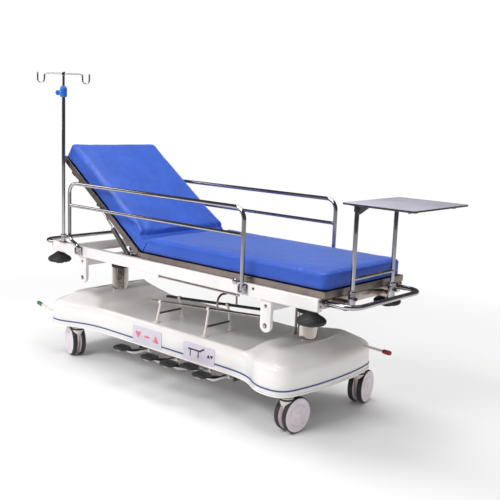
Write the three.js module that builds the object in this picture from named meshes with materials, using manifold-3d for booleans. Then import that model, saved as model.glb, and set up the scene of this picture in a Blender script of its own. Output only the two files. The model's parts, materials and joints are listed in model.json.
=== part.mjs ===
// Stretcher trolley: a wheeled patient trolley with a lifting and tilting platform.
// Millimetres. +X is the foot end, -Y is the pedal side, +Z is up, z = 0 is the floor.
import * as THREE from 'three';
import { mergeVertices } from 'three/addons/utils/BufferGeometryUtils.js';
import Module from 'manifold-3d';

const wasm = await Module();
wasm.setup();

// ---------------------------------------------------------------- driving dimensions
const gap = 0.3;                    // clearance between pieces that touch
const sides = 10;                   // flats on a thin tube
const footprintCentre = { x: 79.2, y: -13.2 };

const wheelRadius = 80;
const wheelWidth = 25;
const wheelOffset = 23;             // from the castor's middle to the middle of one wheel
const castorTrail = 38;
const castorX = { head: -722, foot: 748 };
const castorY = 266;
const castorYaw = { head_near: -19, head_far: -50, foot_near: -95, foot_far: -79 };
const castorNeck = { radius: 30, bottom: 118, top: 168 };

const coverBottom = 172;
const coverMiddleTop = 300;
const coverEndTop = 350;
const coverWall = 6;
const cover = { headX: -892, footX: 812, bulge: 340, waist: 264 };
// Heights and insets of the moulding's outside, from its bottom edge to its crown.
const coverLayers = [
  [coverBottom, 0], [272, 0], [290, 6], [303, 18], [314, 38], [334, 76], [coverEndTop, 102],
];
const stripeZ = 197;
const stripeHeight = 7;

const columnX = { head: -690, foot: 637 };
const sleeveRadius = 45;
const midRadius = 36;
const pistonRadius = 26;
const sleeveTop = 467;
const guideRadius = 6;              // of the rod beside the foot column
const guideOffset = 68;
const chassisBottom = 173;
const chassisTop = 208;

const railY = 310;                  // outer face of each side rail
const railWidth = 30;
const railBottom = 566;
const railTop = 621;
const railEnds = { head: -884, foot: 916 };
const saddleDrop = 425;             // lowest point of the hanging legs
const saddleBeam = { bottom: 520, top: 560, width: 46 };
const pivotZ = 540;

const platformHalf = 292;
const platformBottom = 622;
const platformTop = 650;
const platformFootX = 936;
const frameBar = 25;
const backHinge = { x: -192, z: 642 };
const backAngle = 35.3;
const backLength = 748;
const backMaxAngle = 70;
const cushionHalf = 289;
const cushionThickness = { seat: 67, back: 74 };
const cushionOverhang = 8;          // of the back cushion past its frame
const foldSetback = 8;              // from the hinge line to each cushion's lower edge

const guardY = 326;
const guardPivotZ = 597;
const guardRadius = 9.5;
const guard = { headX: -712, footX: 521, footPivotX: -640, topZ: 946, middleZ: 830, legEnd: 591 };
const guardBends = [14, 46, 52, 52];

const handleRadius = 11;
const handleReach = { head: -1046, foot: 1056 };
const handleHalf = 262;
const handleZ = 599;
const handleBend = 70;

const tablePost = { x: 968, y: 149, radius: 9.5 };
const table = { headX: 935, footX: 1268, half: 214, topZ: 1005, thickness: 8 };

const bumperX = { head: -862, foot: 868 };
const bumperY = 282;
const bumperZ = 522;
const bumperRadius = 62;

const poleX = -793;
const poleY = -306;
const poleRadius = 9;
const poleTop = 1420;
const hookTop = 1515;
const hookDepth = 46;
const hookHalfSpan = 132;
const hookYaw = 41.7;

const pedalX = [-205, 0, 135, 226, 350];
const pedalPadY = [-381, -381, -381, -338, -381];
const pedalShaft = { y: -205, z: 146 };
const pedalPad = { z: 180, halfX: 42, halfY: 34, thick: 16 };

// Each castor-lock lever: its cross shaft, the hub's middle, and the tip of its grip.
const lockLevers = {
  head: { x: -846, z: 190, y: -260, shaftHalf: 275, tipX: -1108, tipZ: 226 },
  foot: { x: 730, z: 296, y: 246, shaftHalf: 262, tipX: 930, tipZ: 290 },
};
const lockRadii = { shaft: 7, hub: 13, bar: 6, grip: 11 };
const gripLength = 44;

const cradle = { slope: 4.8, z: 412, nearY: -200, farY: -70, legX: [-130, 205], hoopX: 260, hoopTop: 505 };

const strutFoot = { x: -312, z: 602 };
const strutHead = { x: -564, z: 843 };
const strutY = -250;
const strutBore = 0.06;             // where the cylinder's bore starts, as a share of the strut
const strutRodStart = 0.28;
const strutBarrelEnd = 0.54;

// ---------------------------------------------------------------- geometry helpers
function solid(geometry) {
  const bare = geometry.clone();
  bare.deleteAttribute('normal');
  bare.deleteAttribute('uv');
  const welded = mergeVertices(bare, 1e-3);
  const index = welded.index.array;
  const triVerts = [];
  for (let i = 0; i < index.length; i += 3) {
    const [a, b, c] = [index[i], index[i + 1], index[i + 2]];
    if (a !== b && b !== c && c !== a) triVerts.push(a, b, c);
  }
  return new wasm.Manifold(new wasm.Mesh({
    numProp: 3,
    vertProperties: Float32Array.from(welded.attributes.position.array),
    triVerts: Uint32Array.from(triVerts),
  }));
}

function geometryOf(manifold) {
  const mesh = manifold.getMesh();
  const geometry = new THREE.BufferGeometry();
  geometry.setAttribute('position', new THREE.BufferAttribute(mesh.vertProperties, 3));
  geometry.setIndex(new THREE.BufferAttribute(mesh.triVerts, 1));
  geometry.computeVertexNormals();
  return geometry;
}

function join(...pieces) {
  return pieces.reduce((whole, next) => whole.add(next));
}

function box(x0, x1, y0, y1, z0, z1) {
  const geometry = new THREE.BoxGeometry(x1 - x0, y1 - y0, z1 - z0);
  return solid(geometry.translate((x0 + x1) / 2, (y0 + y1) / 2, (z0 + z1) / 2));
}

function rod(from, to, radius, flats = sides) {
  const start = new THREE.Vector3(...from);
  const end = new THREE.Vector3(...to);
  const geometry = new THREE.CylinderGeometry(radius, radius, start.distanceTo(end), flats);
  const up = new THREE.Vector3(0, 1, 0);
  geometry.applyQuaternion(new THREE.Quaternion().setFromUnitVectors(up, end.clone().sub(start).normalize()));
  const middle = start.add(end).multiplyScalar(0.5);
  return solid(geometry.translate(middle.x, middle.y, middle.z));
}

// A profile of [radius, height] points turned about the vertical line through (x, y).
function turned(profile, x, y, flats = 24) {
  const points = profile.map(([radius, height]) => new THREE.Vector2(radius, height));
  const geometry = new THREE.LatheGeometry(points, flats).rotateX(Math.PI / 2);
  return solid(geometry.translate(x, y, 0));
}

function pipe(x, y, outer, inner, z0, z1, flats = 24) {
  return turned([[inner, z0], [outer, z0], [outer, z1], [inner, z1], [inner, z0]], x, y, flats);
}

// A flat outline in X and Z, pushed along Y from y0 to y1.
function plateXZ(points, y0, y1) {
  const shape = new THREE.Shape(points.map(([x, z]) => new THREE.Vector2(x, -z)));
  const geometry = new THREE.ExtrudeGeometry(shape, { depth: y1 - y0, bevelEnabled: false });
  return solid(geometry.rotateX(-Math.PI / 2).translate(0, y0, 0));
}

// A flat outline in Y and Z, pushed along X from x0 to x1.
function plateYZ(points, x0, x1) {
  const shape = new THREE.Shape(points.map(([y, z]) => new THREE.Vector2(y, z)));
  const geometry = new THREE.ExtrudeGeometry(shape, { depth: x1 - x0, bevelEnabled: false });
  const toYZ = new THREE.Matrix4().set(0, 0, 1, x0, 1, 0, 0, 0, 0, 1, 0, 0, 0, 0, 0, 1);
  return solid(geometry.applyMatrix4(toYZ));
}

// Straight runs joined by arcs, sampled only where the route bends.
class Route extends THREE.Curve {
  constructor(points) {
    super();
    this.points = points;
  }

  getPoint(t, target = new THREE.Vector3()) {
    const place = t * (this.points.length - 1);
    const i = Math.min(Math.floor(place + 1e-9), this.points.length - 2);
    return target.lerpVectors(this.points[i], this.points[i + 1], place - i);
  }

  getPointAt(u, target) {
    return this.getPoint(u, target);
  }

  getTangentAt(u, target = new THREE.Vector3()) {
    const last = this.points.length - 1;
    const i = Math.round(u * last);
    const before = this.points[Math.max(i, 1)].clone().sub(this.points[Math.max(i, 1) - 1]).normalize();
    const after = this.points[Math.min(i, last - 1) + 1].clone().sub(this.points[Math.min(i, last - 1)]);
    return target.copy(before).add(after.normalize()).normalize();
  }
}

// The bend radius is one number, or one for each inner corner.
function roundedRoute(corners, bend, steps = 4) {
  const points = [new THREE.Vector3(...corners[0])];
  for (let i = 1; i < corners.length - 1; i += 1) {
    const corner = new THREE.Vector3(...corners[i]);
    const inward = corner.clone().sub(new THREE.Vector3(...corners[i - 1])).normalize();
    const outward = new THREE.Vector3(...corners[i + 1]).sub(corner).normalize();
    const turn = inward.angleTo(outward);
    const radius = Array.isArray(bend) ? bend[i - 1] : bend;
    const start = corner.clone().addScaledVector(inward, -radius * Math.tan(turn / 2));
    const side = outward.clone().addScaledVector(inward, -inward.dot(outward)).normalize();
    const centre = start.clone().addScaledVector(side, radius);
    for (let s = 0; s <= steps; s += 1) {
      const angle = (turn * s) / steps;
      points.push(centre.clone().addScaledVector(side, -radius * Math.cos(angle))
        .addScaledVector(inward, radius * Math.sin(angle)));
    }
  }
  points.push(new THREE.Vector3(...corners[corners.length - 1]));
  return new Route(points);
}

function tube(corners, radius, bend, flats = sides) {
  const route = roundedRoute(corners, bend);
  const section = new THREE.Shape().absarc(0, 0, radius, 0, Math.PI * 2);
  return solid(new THREE.ExtrudeGeometry(section, {
    steps: route.points.length - 1,
    extrudePath: route,
    curveSegments: flats / 2,
  }));
}

// A closed outline of [x, y, corner softness] points.
function softOutline(corners) {
  const shape = new THREE.Shape();
  corners.forEach(([x, y, soft], i) => {
    const [px, py] = corners[(i + corners.length - 1) % corners.length];
    const [nx, ny] = corners[(i + 1) % corners.length];
    const inward = new THREE.Vector2(x - px, y - py);
    const outward = new THREE.Vector2(nx - x, ny - y);
    const startRun = Math.min(soft, inward.length() * 0.48);
    const endRun = Math.min(soft, outward.length() * 0.48);
    const start = new THREE.Vector2(x, y).addScaledVector(inward.normalize(), -startRun);
    const end = new THREE.Vector2(x, y).addScaledVector(outward.normalize(), endRun);
    if (i === 0) shape.moveTo(start.x, start.y);
    else shape.lineTo(start.x, start.y);
    shape.quadraticCurveTo(x, y, end.x, end.y);
  });
  return shape;
}

function slab(shape, z0, z1, curveSegments = 4) {
  const geometry = new THREE.ExtrudeGeometry(shape, { depth: z1 - z0, bevelEnabled: false, curveSegments });
  return solid(geometry.translate(0, 0, z0));
}

// Outlines stacked on one another: each layer is [height, inset].
function loft(layers, outline) {
  const rings = layers.map(([z, inset]) => outline(inset).getPoints(4).map((p) => [p.x, p.y, z]));
  const count = rings[0].length;
  const index = [];
  for (let r = 0; r < rings.length - 1; r += 1) {
    for (let i = 0; i < count; i += 1) {
      const a = r * count + i;
      const b = r * count + ((i + 1) % count);
      index.push(a, b, b + count, a, b + count, a + count);
    }
  }
  const top = (rings.length - 1) * count;
  for (const [a, b, c] of THREE.ShapeUtils.triangulateShape(outline(0).getPoints(4), [])) {
    index.push(c, b, a, top + a, top + b, top + c);
  }
  const geometry = new THREE.BufferGeometry();
  geometry.setAttribute('position', new THREE.Float32BufferAttribute(rings.flat(2), 3));
  geometry.setIndex(index);
  return solid(geometry);
}

// ---------------------------------------------------------------- finishes
function finish(color, roughness, metalness) {
  return new THREE.MeshStandardMaterial({ color, roughness, metalness });
}
const paint = finish(0xeeebe4, 0.4, 0);
const moulding = finish(0xe9e5da, 0.35, 0);
const chrome = finish(0xc9ccd0, 0.15, 1);
const steel = finish(0xb4b7ba, 0.3, 1);
const darkSteel = finish(0x55585c, 0.45, 0.8);
const rubber = finish(0x1b1b1d, 0.7, 0);
const blueLeatherette = finish(0x2450b8, 0.5, 0);
const bluePlastic = finish(0x1f6fd0, 0.35, 0);
const navyTrim = finish(0x24395f, 0.5, 0);
const greyPlastic = finish(0xd0cdd6, 0.45, 0);
const smokedAcrylic = finish(0x8d9399, 0.1, 0);

const trolley = new THREE.Group();
trolley.position.set(-footprintCentre.x, -footprintCentre.y, 0);

function piece(name, manifold, material, parent = trolley) {
  const mesh = new THREE.Mesh(geometryOf(manifold), material);
  mesh.name = name;
  parent.add(mesh);
  return mesh;
}

function eachCorner(action) {
  for (const end of ['head', 'foot']) {
    for (const [side, sign] of [['near', -1], ['far', 1]]) action(end, side, sign);
  }
}

// ---------------------------------------------------------------- base
function coverOutline(inset) {
  const near = [
    [cover.footX - inset, -130, 150],
    [cover.footX - 34 - inset, -cover.bulge + inset, 80],
    [cover.footX - 175, -cover.bulge - 6 + inset, 60],
    [cover.footX - 300, -cover.waist + inset, 110],
    [cover.headX + 300, -cover.waist + inset, 130],
    [cover.headX + 115, -cover.bulge - 6 + inset, 70],
    [cover.headX + 28 + inset, -cover.bulge + inset, 60],
    [cover.headX + inset, -130, 150],
  ];
  const far = near.map(([x, y, soft]) => [x, -y, soft]).reverse();
  return softOutline([...near.reverse(), ...far.reverse()]);
}

// The moulding's outside, or its inside when drawn in by an inset: walls, a rounded crown,
// then the valley cut.
function coverBlank(inset) {
  const layers = coverLayers.map(([z, step]) => [z - inset, step + inset]);
  const valley = plateXZ([
    [cover.headX + 250, coverEndTop + 10],
    [cover.headX + 330, coverMiddleTop - inset],
    [cover.footX - 330, coverMiddleTop - inset],
    [cover.footX - 250, coverEndTop + 10],
  ], -500, 500);
  return loft(layers, coverOutline).subtract(valley);
}

function baseCover() {
  const columnHole = (x, radius) => rod([x, 0, 200], [x, 0, 400], radius, 24);
  const openings = [
    columnHole(columnX.head, sleeveRadius + 2),
    columnHole(columnX.foot, sleeveRadius + 2),
    columnHole(columnX.foot - guideOffset, guideRadius + 3),
    leverSlot(),
    box(cover.footX - 70, cover.footX + 20, lockLevers.foot.y - 12, lockLevers.foot.y + 12, 262, 326),
  ];
  return openings.reduce((left, cut) => left.subtract(cut), coverBlank(0).subtract(coverBlank(coverWall)));
}

function leverSlot() {
  return box(cover.headX - 20, cover.headX + 60, lockLevers.head.y - 12, lockLevers.head.y + 12, 165, 246);
}

function baseStripe() {
  const ring = slab(coverOutline(-2), stripeZ, stripeZ + stripeHeight).subtract(leverSlot());
  return ring.subtract(slab(coverOutline(-gap), stripeZ - 5, stripeZ + stripeHeight + 5));
}

function chassis() {
  const z0 = chassisBottom;
  const z1 = chassisTop;
  let frame = join(
    box(castorX.head - 30, castorX.foot + 30, -170, -130, z0, z1),
    box(castorX.head - 30, castorX.foot + 30, 130, 170, z0, z1),
    box(columnX.head - 70, columnX.head + 70, -140, 140, z0, z0 + 10),
    box(columnX.foot - 90, columnX.foot + 70, -140, 140, z0, z0 + 10),
  );
  eachCorner((end, side, sign) => {
    const [inner, outer] = [Math.min(sign * 135, sign * 297), Math.max(sign * 135, sign * 297)];
    frame = join(frame, box(castorX[end] - 20, castorX[end] + 20, inner, outer, z0, z1));
  });
  for (const x of [pedalX[0] - 50, pedalX[4] + 50]) {
    frame = join(frame, box(x - 5, x + 5, pedalShaft.y - 20, -130, pedalShaft.z - 16, z1));
  }
  eachCorner((end, side, sign) => {
    const stem = [castorX[end], sign * castorY];
    frame = frame.subtract(rod([...stem, z0 - 20], [...stem, z1 + 20], 15, 16));
  });
  const { y, z } = pedalShaft;
  return frame.subtract(rod([castorX.head, y, z], [castorX.foot, y, z], 10.4, 16));
}

function columnSleeve(x) {
  const bottom = chassisBottom + 10 + gap;
  const inner = midRadius + 0.5;
  return turned([
    [inner, bottom], [sleeveRadius + 14, bottom], [sleeveRadius + 14, bottom + 8], [sleeveRadius, bottom + 8],
    [sleeveRadius, sleeveTop], [sleeveRadius + 4, sleeveTop], [sleeveRadius + 4, sleeveTop + 18],
    [inner, sleeveTop + 18], [inner, bottom],
  ], x, 0);
}

function midTube(x, guideX) {
  const bore = pistonRadius + 0.5;
  const barrel = pipe(x, 0, midRadius, bore, 188, 500);
  if (guideX === undefined) return barrel;
  const guideRod = rod([guideX, 0, 230], [guideX, 0, 497], guideRadius);
  const bridge = box(guideX - 12, x - midRadius + 3, -10, 10, 490, 498);
  return join(barrel, guideRod, bridge);
}

function piston(x) {
  return turned([[0, 195], [pistonRadius, 195], [pistonRadius, 505], [pistonRadius + 6, 505],
    [pistonRadius + 6, 512], [0, 512]], x, 0);
}

function bottleCradle() {
  const rise = Math.tan(THREE.MathUtils.degToRad(cradle.slope));
  const line = (x, y) => [x, y, cradle.z + x * rise];
  const lean = 24;
  const parts = [rod(line(-190, cradle.nearY), line(540, cradle.nearY), 7), rod(line(-225, cradle.farY),
      line(420, cradle.farY), 7)];
  for (const x of cradle.legX) {
    for (const [y, outward] of [[cradle.nearY, -lean], [cradle.farY, lean]]) {
      parts.push(rod(line(x, y), [x, y + outward, coverMiddleTop + 2], 6));
      parts.push(box(x - 13, x + 13, y + outward - 13, y + outward + 13, coverMiddleTop + gap,
          coverMiddleTop + 5));
    }
    parts.push(rod([x, cradle.nearY - 15, 345], [x, cradle.farY + 15, 345], 5));
  }
  const { hoopX, hoopTop, nearY, farY } = cradle;
  const hoop = tube([line(hoopX, nearY), [hoopX, nearY, hoopTop], [hoopX, farY, hoopTop], line(hoopX,
      farY)], 5, 60);
  return join(...parts, hoop);
}

// ---------------------------------------------------------------- castors
function castorHousing() {
  const body = rod([-castorTrail, -8, wheelRadius], [-castorTrail, 8, wheelRadius], 56, 20);
  const neck = rod([0, 0, castorNeck.bottom], [0, 0, castorNeck.top], castorNeck.radius, 20);
  const stem = rod([0, 0, 150], [0, 0, 200], 14, 16);
  const web = box(-castorTrail, 14, -8, 8, 96, 140);
  const axleBore = rod([-castorTrail, -20, wheelRadius], [-castorTrail, 20, wheelRadius], 8.4, 12);
  return join(body, neck, stem, web).subtract(axleBore);
}

function castorWheels() {
  const wheel = (y) => rod([-castorTrail, y - wheelWidth / 2, wheelRadius],
    [-castorTrail, y + wheelWidth / 2, wheelRadius], wheelRadius, 28);
  const axle = rod([-castorTrail, -wheelOffset, wheelRadius], [-castorTrail, wheelOffset, wheelRadius],
      8, 12);
  return join(wheel(-wheelOffset), wheel(wheelOffset), axle);
}

function castor(end, side, sign) {
  const group = new THREE.Group();
  group.position.set(castorX[end], sign * castorY, 0);
  group.rotation.z = THREE.MathUtils.degToRad(castorYaw[`${end}_${side}`]);
  trolley.add(group);
  piece(`castor_housing_${end}_${side}`, castorHousing().subtract(neckRelief()), greyPlastic, group);
  piece(`castor_wheels_${end}_${side}`, castorWheels(), rubber, group);
}

// The neck is wider than the space between the wheels, so it stops above them.
function neckRelief() {
  const clearance = 2;
  const cut = (y0, y1) => rod([-castorTrail, y0, wheelRadius], [-castorTrail, y1, wheelRadius],
    wheelRadius + clearance, 28);
  const inner = wheelOffset - wheelWidth / 2 - 1.5;
  return cut(-60, -inner).add(cut(inner, 60));
}

// ---------------------------------------------------------------- pedals
function pedalLever(x, padY) {
  const { y, z } = pedalShaft;
  const { halfX, halfY, thick } = pedalPad;
  const padZ = pedalPad.z;
  const rampY = padY + 60;
  const arm = plateYZ([
    [y + 4, z - 6], [y + 4, z + 6], [rampY, z + 6], [padY + 26, padZ - 1],
    [padY - 26, padZ - 1], [padY - 26, padZ - 9], [padY + 22, padZ - 9], [rampY - 4, z - 6],
  ], x - 13, x + 13);
  const hub = rod([x - 18, y, z], [x + 18, y, z], 17, 16);
  const bore = rod([x - 30, y, z], [x + 30, y, z], 10.6, 16);
  const pad = slab(softOutline([[x - halfX, padY - halfY, 26], [x + halfX, padY - halfY, 26],
    [x + halfX, padY + halfY, 26], [x - halfX, padY + halfY, 26]]), padZ - 2, padZ - 2 + thick);
  return join(arm, hub, pad).subtract(bore);
}

// A castor-lock lever with the cross shaft that it turns.
function lockLever(end) {
  const { x, z, y, shaftHalf, tipX, tipZ } = lockLevers[end];
  const share = 1 - gripLength / Math.abs(tipX - x);
  const gripStart = [x + (tipX - x) * share, y, z + (tipZ - z) * share];
  return join(
    rod([x, -shaftHalf, z], [x, shaftHalf, z], lockRadii.shaft, 12),
    rod([x, y - lockRadii.hub, z], [x, y + lockRadii.hub, z], lockRadii.hub, 16),
    rod([x, y, z], gripStart, lockRadii.bar),
    rod(gripStart, [tipX, y, tipZ], lockRadii.grip, 12),
  );
}

// ---------------------------------------------------------------- lifting platform
function sideRail(sign) {
  const wall = 3;
  const outer = sign * railY;
  const inner = sign * (railY - railWidth);
  const lip = sign * (railY - wall);
  const channel = plateYZ([
    [outer, railBottom], [outer, railTop], [inner, railTop], [inner, railTop - wall],
    [lip, railTop - wall], [lip, railBottom + wall], [inner, railBottom + wall], [inner, railBottom],
  ], railEnds.head, railEnds.foot);
  const clamps = [guard.footPivotX, guard.footX].map((x) => guardClamp(x, sign));
  return join(channel, ...clamps);
}

function guardClamp(x, sign) {
  const across = (inner, outer) => [Math.min(sign * inner, sign * outer), Math.max(sign * inner,
      sign * outer)];
  const back = box(x - 22, x + 22, ...across(railY - 1, railY + 4), 570, 618);
  const cheek = (cx) => box(cx - 2.5, cx + 2.5, ...across(railY, railY + 26), 578, 616);
  const pinHole = rod([x - 30, sign * guardY, guardPivotZ], [x + 30, sign * guardY, guardPivotZ], 4.6, 12);
  return join(back, cheek(x - 15), cheek(x + 15)).subtract(pinHole);
}

function crossMember(x0, x1) {
  return box(x0, x1, -railY + railWidth + gap, railY - railWidth - gap, railBottom + 5, railTop - 5);
}

function footCrossMember() {
  const posts = [-1, 1].map((sign) => {
    const y = sign * tablePost.y;
    const sleeve = pipe(tablePost.x, y, 16, tablePost.radius + 0.5, 572, 640, 16);
    const shelf = box(tablePost.x - 20, tablePost.x + 16, y - 16, y + 16, 564, 573);
    const arm = box(907, tablePost.x - 12, y - 12, y + 12, 572, 600);
    return join(sleeve, shelf, arm);
  });
  return join(crossMember(880, 909), ...posts);
}

function saddle(x) {
  const half = railY - railWidth;
  const { bottom, top, width } = saddleBeam;
  const beam = box(x - width / 2, x + width / 2, -half - 4, half + 4, bottom, top);
  const slot = box(x - 16, x + 16, -half + 30, half - 30, bottom - 5, top - 6);
  const legs = [-1, 1].map((sign) => {
    const y0 = Math.min(sign * half, sign * (half + 20));
    const [wide, narrow] = [29, 19];
    return plateXZ([[x - wide, railBottom - gap], [x - wide, saddleDrop + 10], [x - narrow, saddleDrop],
      [x + narrow, saddleDrop], [x + wide, saddleDrop + 10], [x + wide, railBottom - gap]], y0, y0 + 20);
  });
  return join(beam, ...legs).subtract(slot);
}

function seatFrame() {
  const x0 = backHinge.x + 14;
  const x1 = platformFootX;
  const inner = platformHalf - frameBar;
  const parts = [
    box(x0, x1, -platformHalf, -inner, platformBottom, platformTop),
    box(x0, x1, inner, platformHalf, platformBottom, platformTop),
    box(x0, x0 + frameBar, -platformHalf, platformHalf, platformBottom, platformTop),
    box(x1 - frameBar, x1, -platformHalf, platformHalf, platformBottom, platformTop),
  ];
  for (const x of [180, 550]) parts.push(box(x, x + 30, -inner - 2, inner + 2, platformBottom,
      platformTop - 8));
  for (const sign of [-1, 1]) {
    const y0 = sign > 0 ? 271 : -291;
    parts.push(rod([backHinge.x, y0, backHinge.z], [backHinge.x, y0 + 20, backHinge.z], 11, 16));
    parts.push(box(backHinge.x + 4, x0 + 2, y0, y0 + 20, backHinge.z - 7, backHinge.z + 7));
  }
  const [beamTop, beamBottom] = [platformBottom - 4, platformBottom - 13];
  const strutBar = box(strutFoot.x - 8, strutFoot.x + 8, strutY + 14, strutY + 20, strutFoot.z - 10, beamTop);
  const strutBeam = box(strutFoot.x - 8, x0 + 14, strutY + 14, strutY + 26, beamBottom, beamTop);
  const strutRiser = box(x0 + 2, x0 + 14, strutY + 14, strutY + 26, beamBottom, platformBottom + 2);
  const bore = rod([backHinge.x, -300, backHinge.z], [backHinge.x, 300, backHinge.z], 6.3, 12);
  return join(...parts, strutBar, strutBeam, strutRiser).subtract(bore);
}

function seatBoard() {
  const inner = platformHalf - frameBar - gap;
  return box(backHinge.x + 14 + frameBar + gap, platformFootX - frameBar - gap, -inner, inner,
      platformTop - 7, platformTop - 1);
}

// What a cushion loses at the fold: each side gives way by half of the back's greatest angle.
function foldWedge(x, z0, thickness, away) {
  const run = Math.tan(THREE.MathUtils.degToRad(backMaxAngle / 2)) * 1.2;
  const behind = x - away * 20;
  const outline = [[behind, z0 - 5], [x, z0 - 5], [x, z0], [x + away * thickness * run, z0 + thickness * 1.2],
    [behind, z0 + thickness * 1.2]];
  return plateXZ(away > 0 ? outline : outline.reverse(), -400, 400);
}

function seatCushion() {
  const startX = backHinge.x + foldSetback;
  const endX = platformFootX - 2;
  const z0 = platformTop + 2;
  const plan = softOutline([[startX, -cushionHalf, 4], [endX, -cushionHalf, 45], [endX, cushionHalf, 45],
    [startX, cushionHalf, 4]]);
  return slab(plan, z0, z0 + cushionThickness.seat).subtract(foldWedge(startX, z0, cushionThickness.seat, 1));
}

function endHandle(end) {
  const sign = end === 'head' ? -1 : 1;
  const start = end === 'head' ? railEnds.head - 1 - gap : railEnds.foot + 1 + gap;
  const plate = (s) => box(Math.min(start, start + sign * 6), Math.max(start, start + sign * 6),
    s > 0 ? handleHalf - 16 : 1 - railY, s > 0 ? railY - 1 : 16 - handleHalf, handleZ - 16, handleZ + 16);
  const reach = handleReach[end];
  const bar = tube([[start, -handleHalf, handleZ], [reach, -handleHalf, handleZ],
    [reach, handleHalf, handleZ], [start, handleHalf, handleZ]], handleRadius, handleBend);
  return join(bar, plate(-1), plate(1));
}

function bumper(x, y) {
  const z = bumperZ;
  return turned([[0, z - 26], [20, z - 26], [22, z - 20], [bumperRadius - 4, z - 14], [bumperRadius, z - 8],
    [bumperRadius, z + 2], [bumperRadius - 8, z + 9], [30, z + 24], [20, z + 34], [12, z + 36],
    [12, railBottom - 1], [0, railBottom - 1]], x, y);
}

function guardFrame(sign) {
  const y = sign * guardY;
  const { headX, footX, footPivotX, topZ, middleZ, legEnd } = guard;
  const loop = tube([[footPivotX, y, legEnd], [footPivotX, y, guardPivotZ + 27], [headX, y, guardPivotZ + 56],
    [headX, y, topZ], [footX, y, topZ], [footX, y, legEnd]], guardRadius, guardBends);
  const middle = rod([headX, y, middleZ], [footX, y, middleZ], guardRadius - 1);
  const pins = [footPivotX, footX].map((x) => rod([x - 20, y, guardPivotZ], [x + 20, y, guardPivotZ], 4, 12));
  return join(loop, middle, ...pins);
}

function railTieRod(sign) {
  const y = sign * 296;
  return join(rod([-35, y, 557], [475, y, 557], 5), box(-40, -28, y - 6, y + 6, 552, railBottom - gap),
    box(468, 480, y - 6, y + 6, 552, railBottom - gap));
}

// ---------------------------------------------------------------- backrest, built flat about its hinge
function backFrame() {
  const inner = platformHalf - frameBar;
  const low = platformBottom - backHinge.z;
  const high = platformTop - backHinge.z;
  const parts = [
    box(-backLength, -14, -platformHalf, -inner, low, high),
    box(-backLength, -14, inner, platformHalf, low, high),
    box(-backLength, -backLength + frameBar, -platformHalf, platformHalf, low, high),
    box(-14 - frameBar, -14, -platformHalf, platformHalf, low, high),
    box(-466, -438, -inner - 2, inner + 2, low, high - 8),
  ];
  for (const sign of [-1, 1]) {
    const y0 = sign > 0 ? 248 : -268;
    parts.push(rod([0, y0, 0], [0, y0 + 20, 0], 11, 16), box(-16, -4, y0, y0 + 20, -7, 7));
  }
  const lug = plateXZ([[-470, low + 2], [-408, low + 2], [-408, low - 38], [-432, low - 38]],
      strutY + 14, strutY + 19);
  return join(...parts, lug).subtract(rod([0, -300, 0], [0, 300, 0], 6.3, 12));
}

function backBoard() {
  const inner = platformHalf - frameBar - gap;
  const high = platformTop - backHinge.z;
  return box(-backLength + frameBar + gap, -14 - frameBar - gap, -inner, inner, high - 7, high - 1);
}

function backCushion() {
  const z0 = platformTop - backHinge.z + 2;
  const endX = -backLength - cushionOverhang;
  const plan = softOutline([[endX, -cushionHalf, 26], [-foldSetback, -cushionHalf, 4], [-foldSetback,
      cushionHalf, 4],
    [endX, cushionHalf, 26]]);
  return slab(plan, z0, z0 + cushionThickness.back).subtract(foldWedge(-foldSetback, z0,
      cushionThickness.back, -1));
}

function releaseLever() {
  const low = platformBottom - backHinge.z;
  return join(
    box(-668, -575, -277, -265, low - 22, low - 11),
    rod([-585, -278, low - 14], [-585, -262, low - 14], 11, 16),
    box(-672, -640, -278, -250, low - 26, low - 8),
  );
}

// ---------------------------------------------------------------- gas strut
function strutPoint(t) {
  return [strutFoot.x + (strutHead.x - strutFoot.x) * t, strutY,
      strutFoot.z + (strutHead.z - strutFoot.z) * t];
}

function strutCylinder() {
  const eye = rod([strutFoot.x, strutY - 8, strutFoot.z], [strutFoot.x, strutY + 8, strutFoot.z], 12, 16);
  const barrel = rod(strutPoint(0), strutPoint(strutBarrelEnd), 12, 16);
  return join(eye, barrel).subtract(rod(strutPoint(strutBore), strutPoint(strutBarrelEnd + 0.1), 5.5, 12));
}

function strutRod() {
  const eye = rod([strutHead.x, strutY - 8, strutHead.z], [strutHead.x, strutY + 8, strutHead.z], 10, 16);
  return join(eye, rod(strutPoint(strutRodStart), strutPoint(1), 5, 12));
}

// ---------------------------------------------------------------- drip stand
function poleSocket() {
  const flange = box(poleX - 24, poleX + 24, poleY - 14, poleY + 13, railTop + gap, railTop + 5);
  const hole = rod([poleX, poleY, railTop - 10], [poleX, poleY, railTop + 20], poleRadius + 0.4, 16);
  return join(flange.subtract(hole), pipe(poleX, poleY, 13, poleRadius + 0.4, railTop + 4, 665, 16));
}

function pole() {
  return pipe(poleX, poleY, poleRadius, poleRadius - 2.2, railTop + 1, poleTop, 16);
}

function poleCollar() {
  const above = pipe(poleX, poleY, 18, poleRadius - 2.1, poleTop + gap, poleTop + 20, 16);
  const around = pipe(poleX, poleY, 18, poleRadius + 0.4, poleTop - 36, poleTop + gap, 16);
  const boss = box(poleX - 34, poleX - 15, poleY - 9, poleY + 9, poleTop - 24, poleTop - 4);
  return join(above, around, boss);
}

function poleKnob() {
  const z = poleTop - 14;
  return rod([poleX - 56, poleY, z], [poleX - 34 - gap, poleY, z], 14, 10);
}

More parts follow.
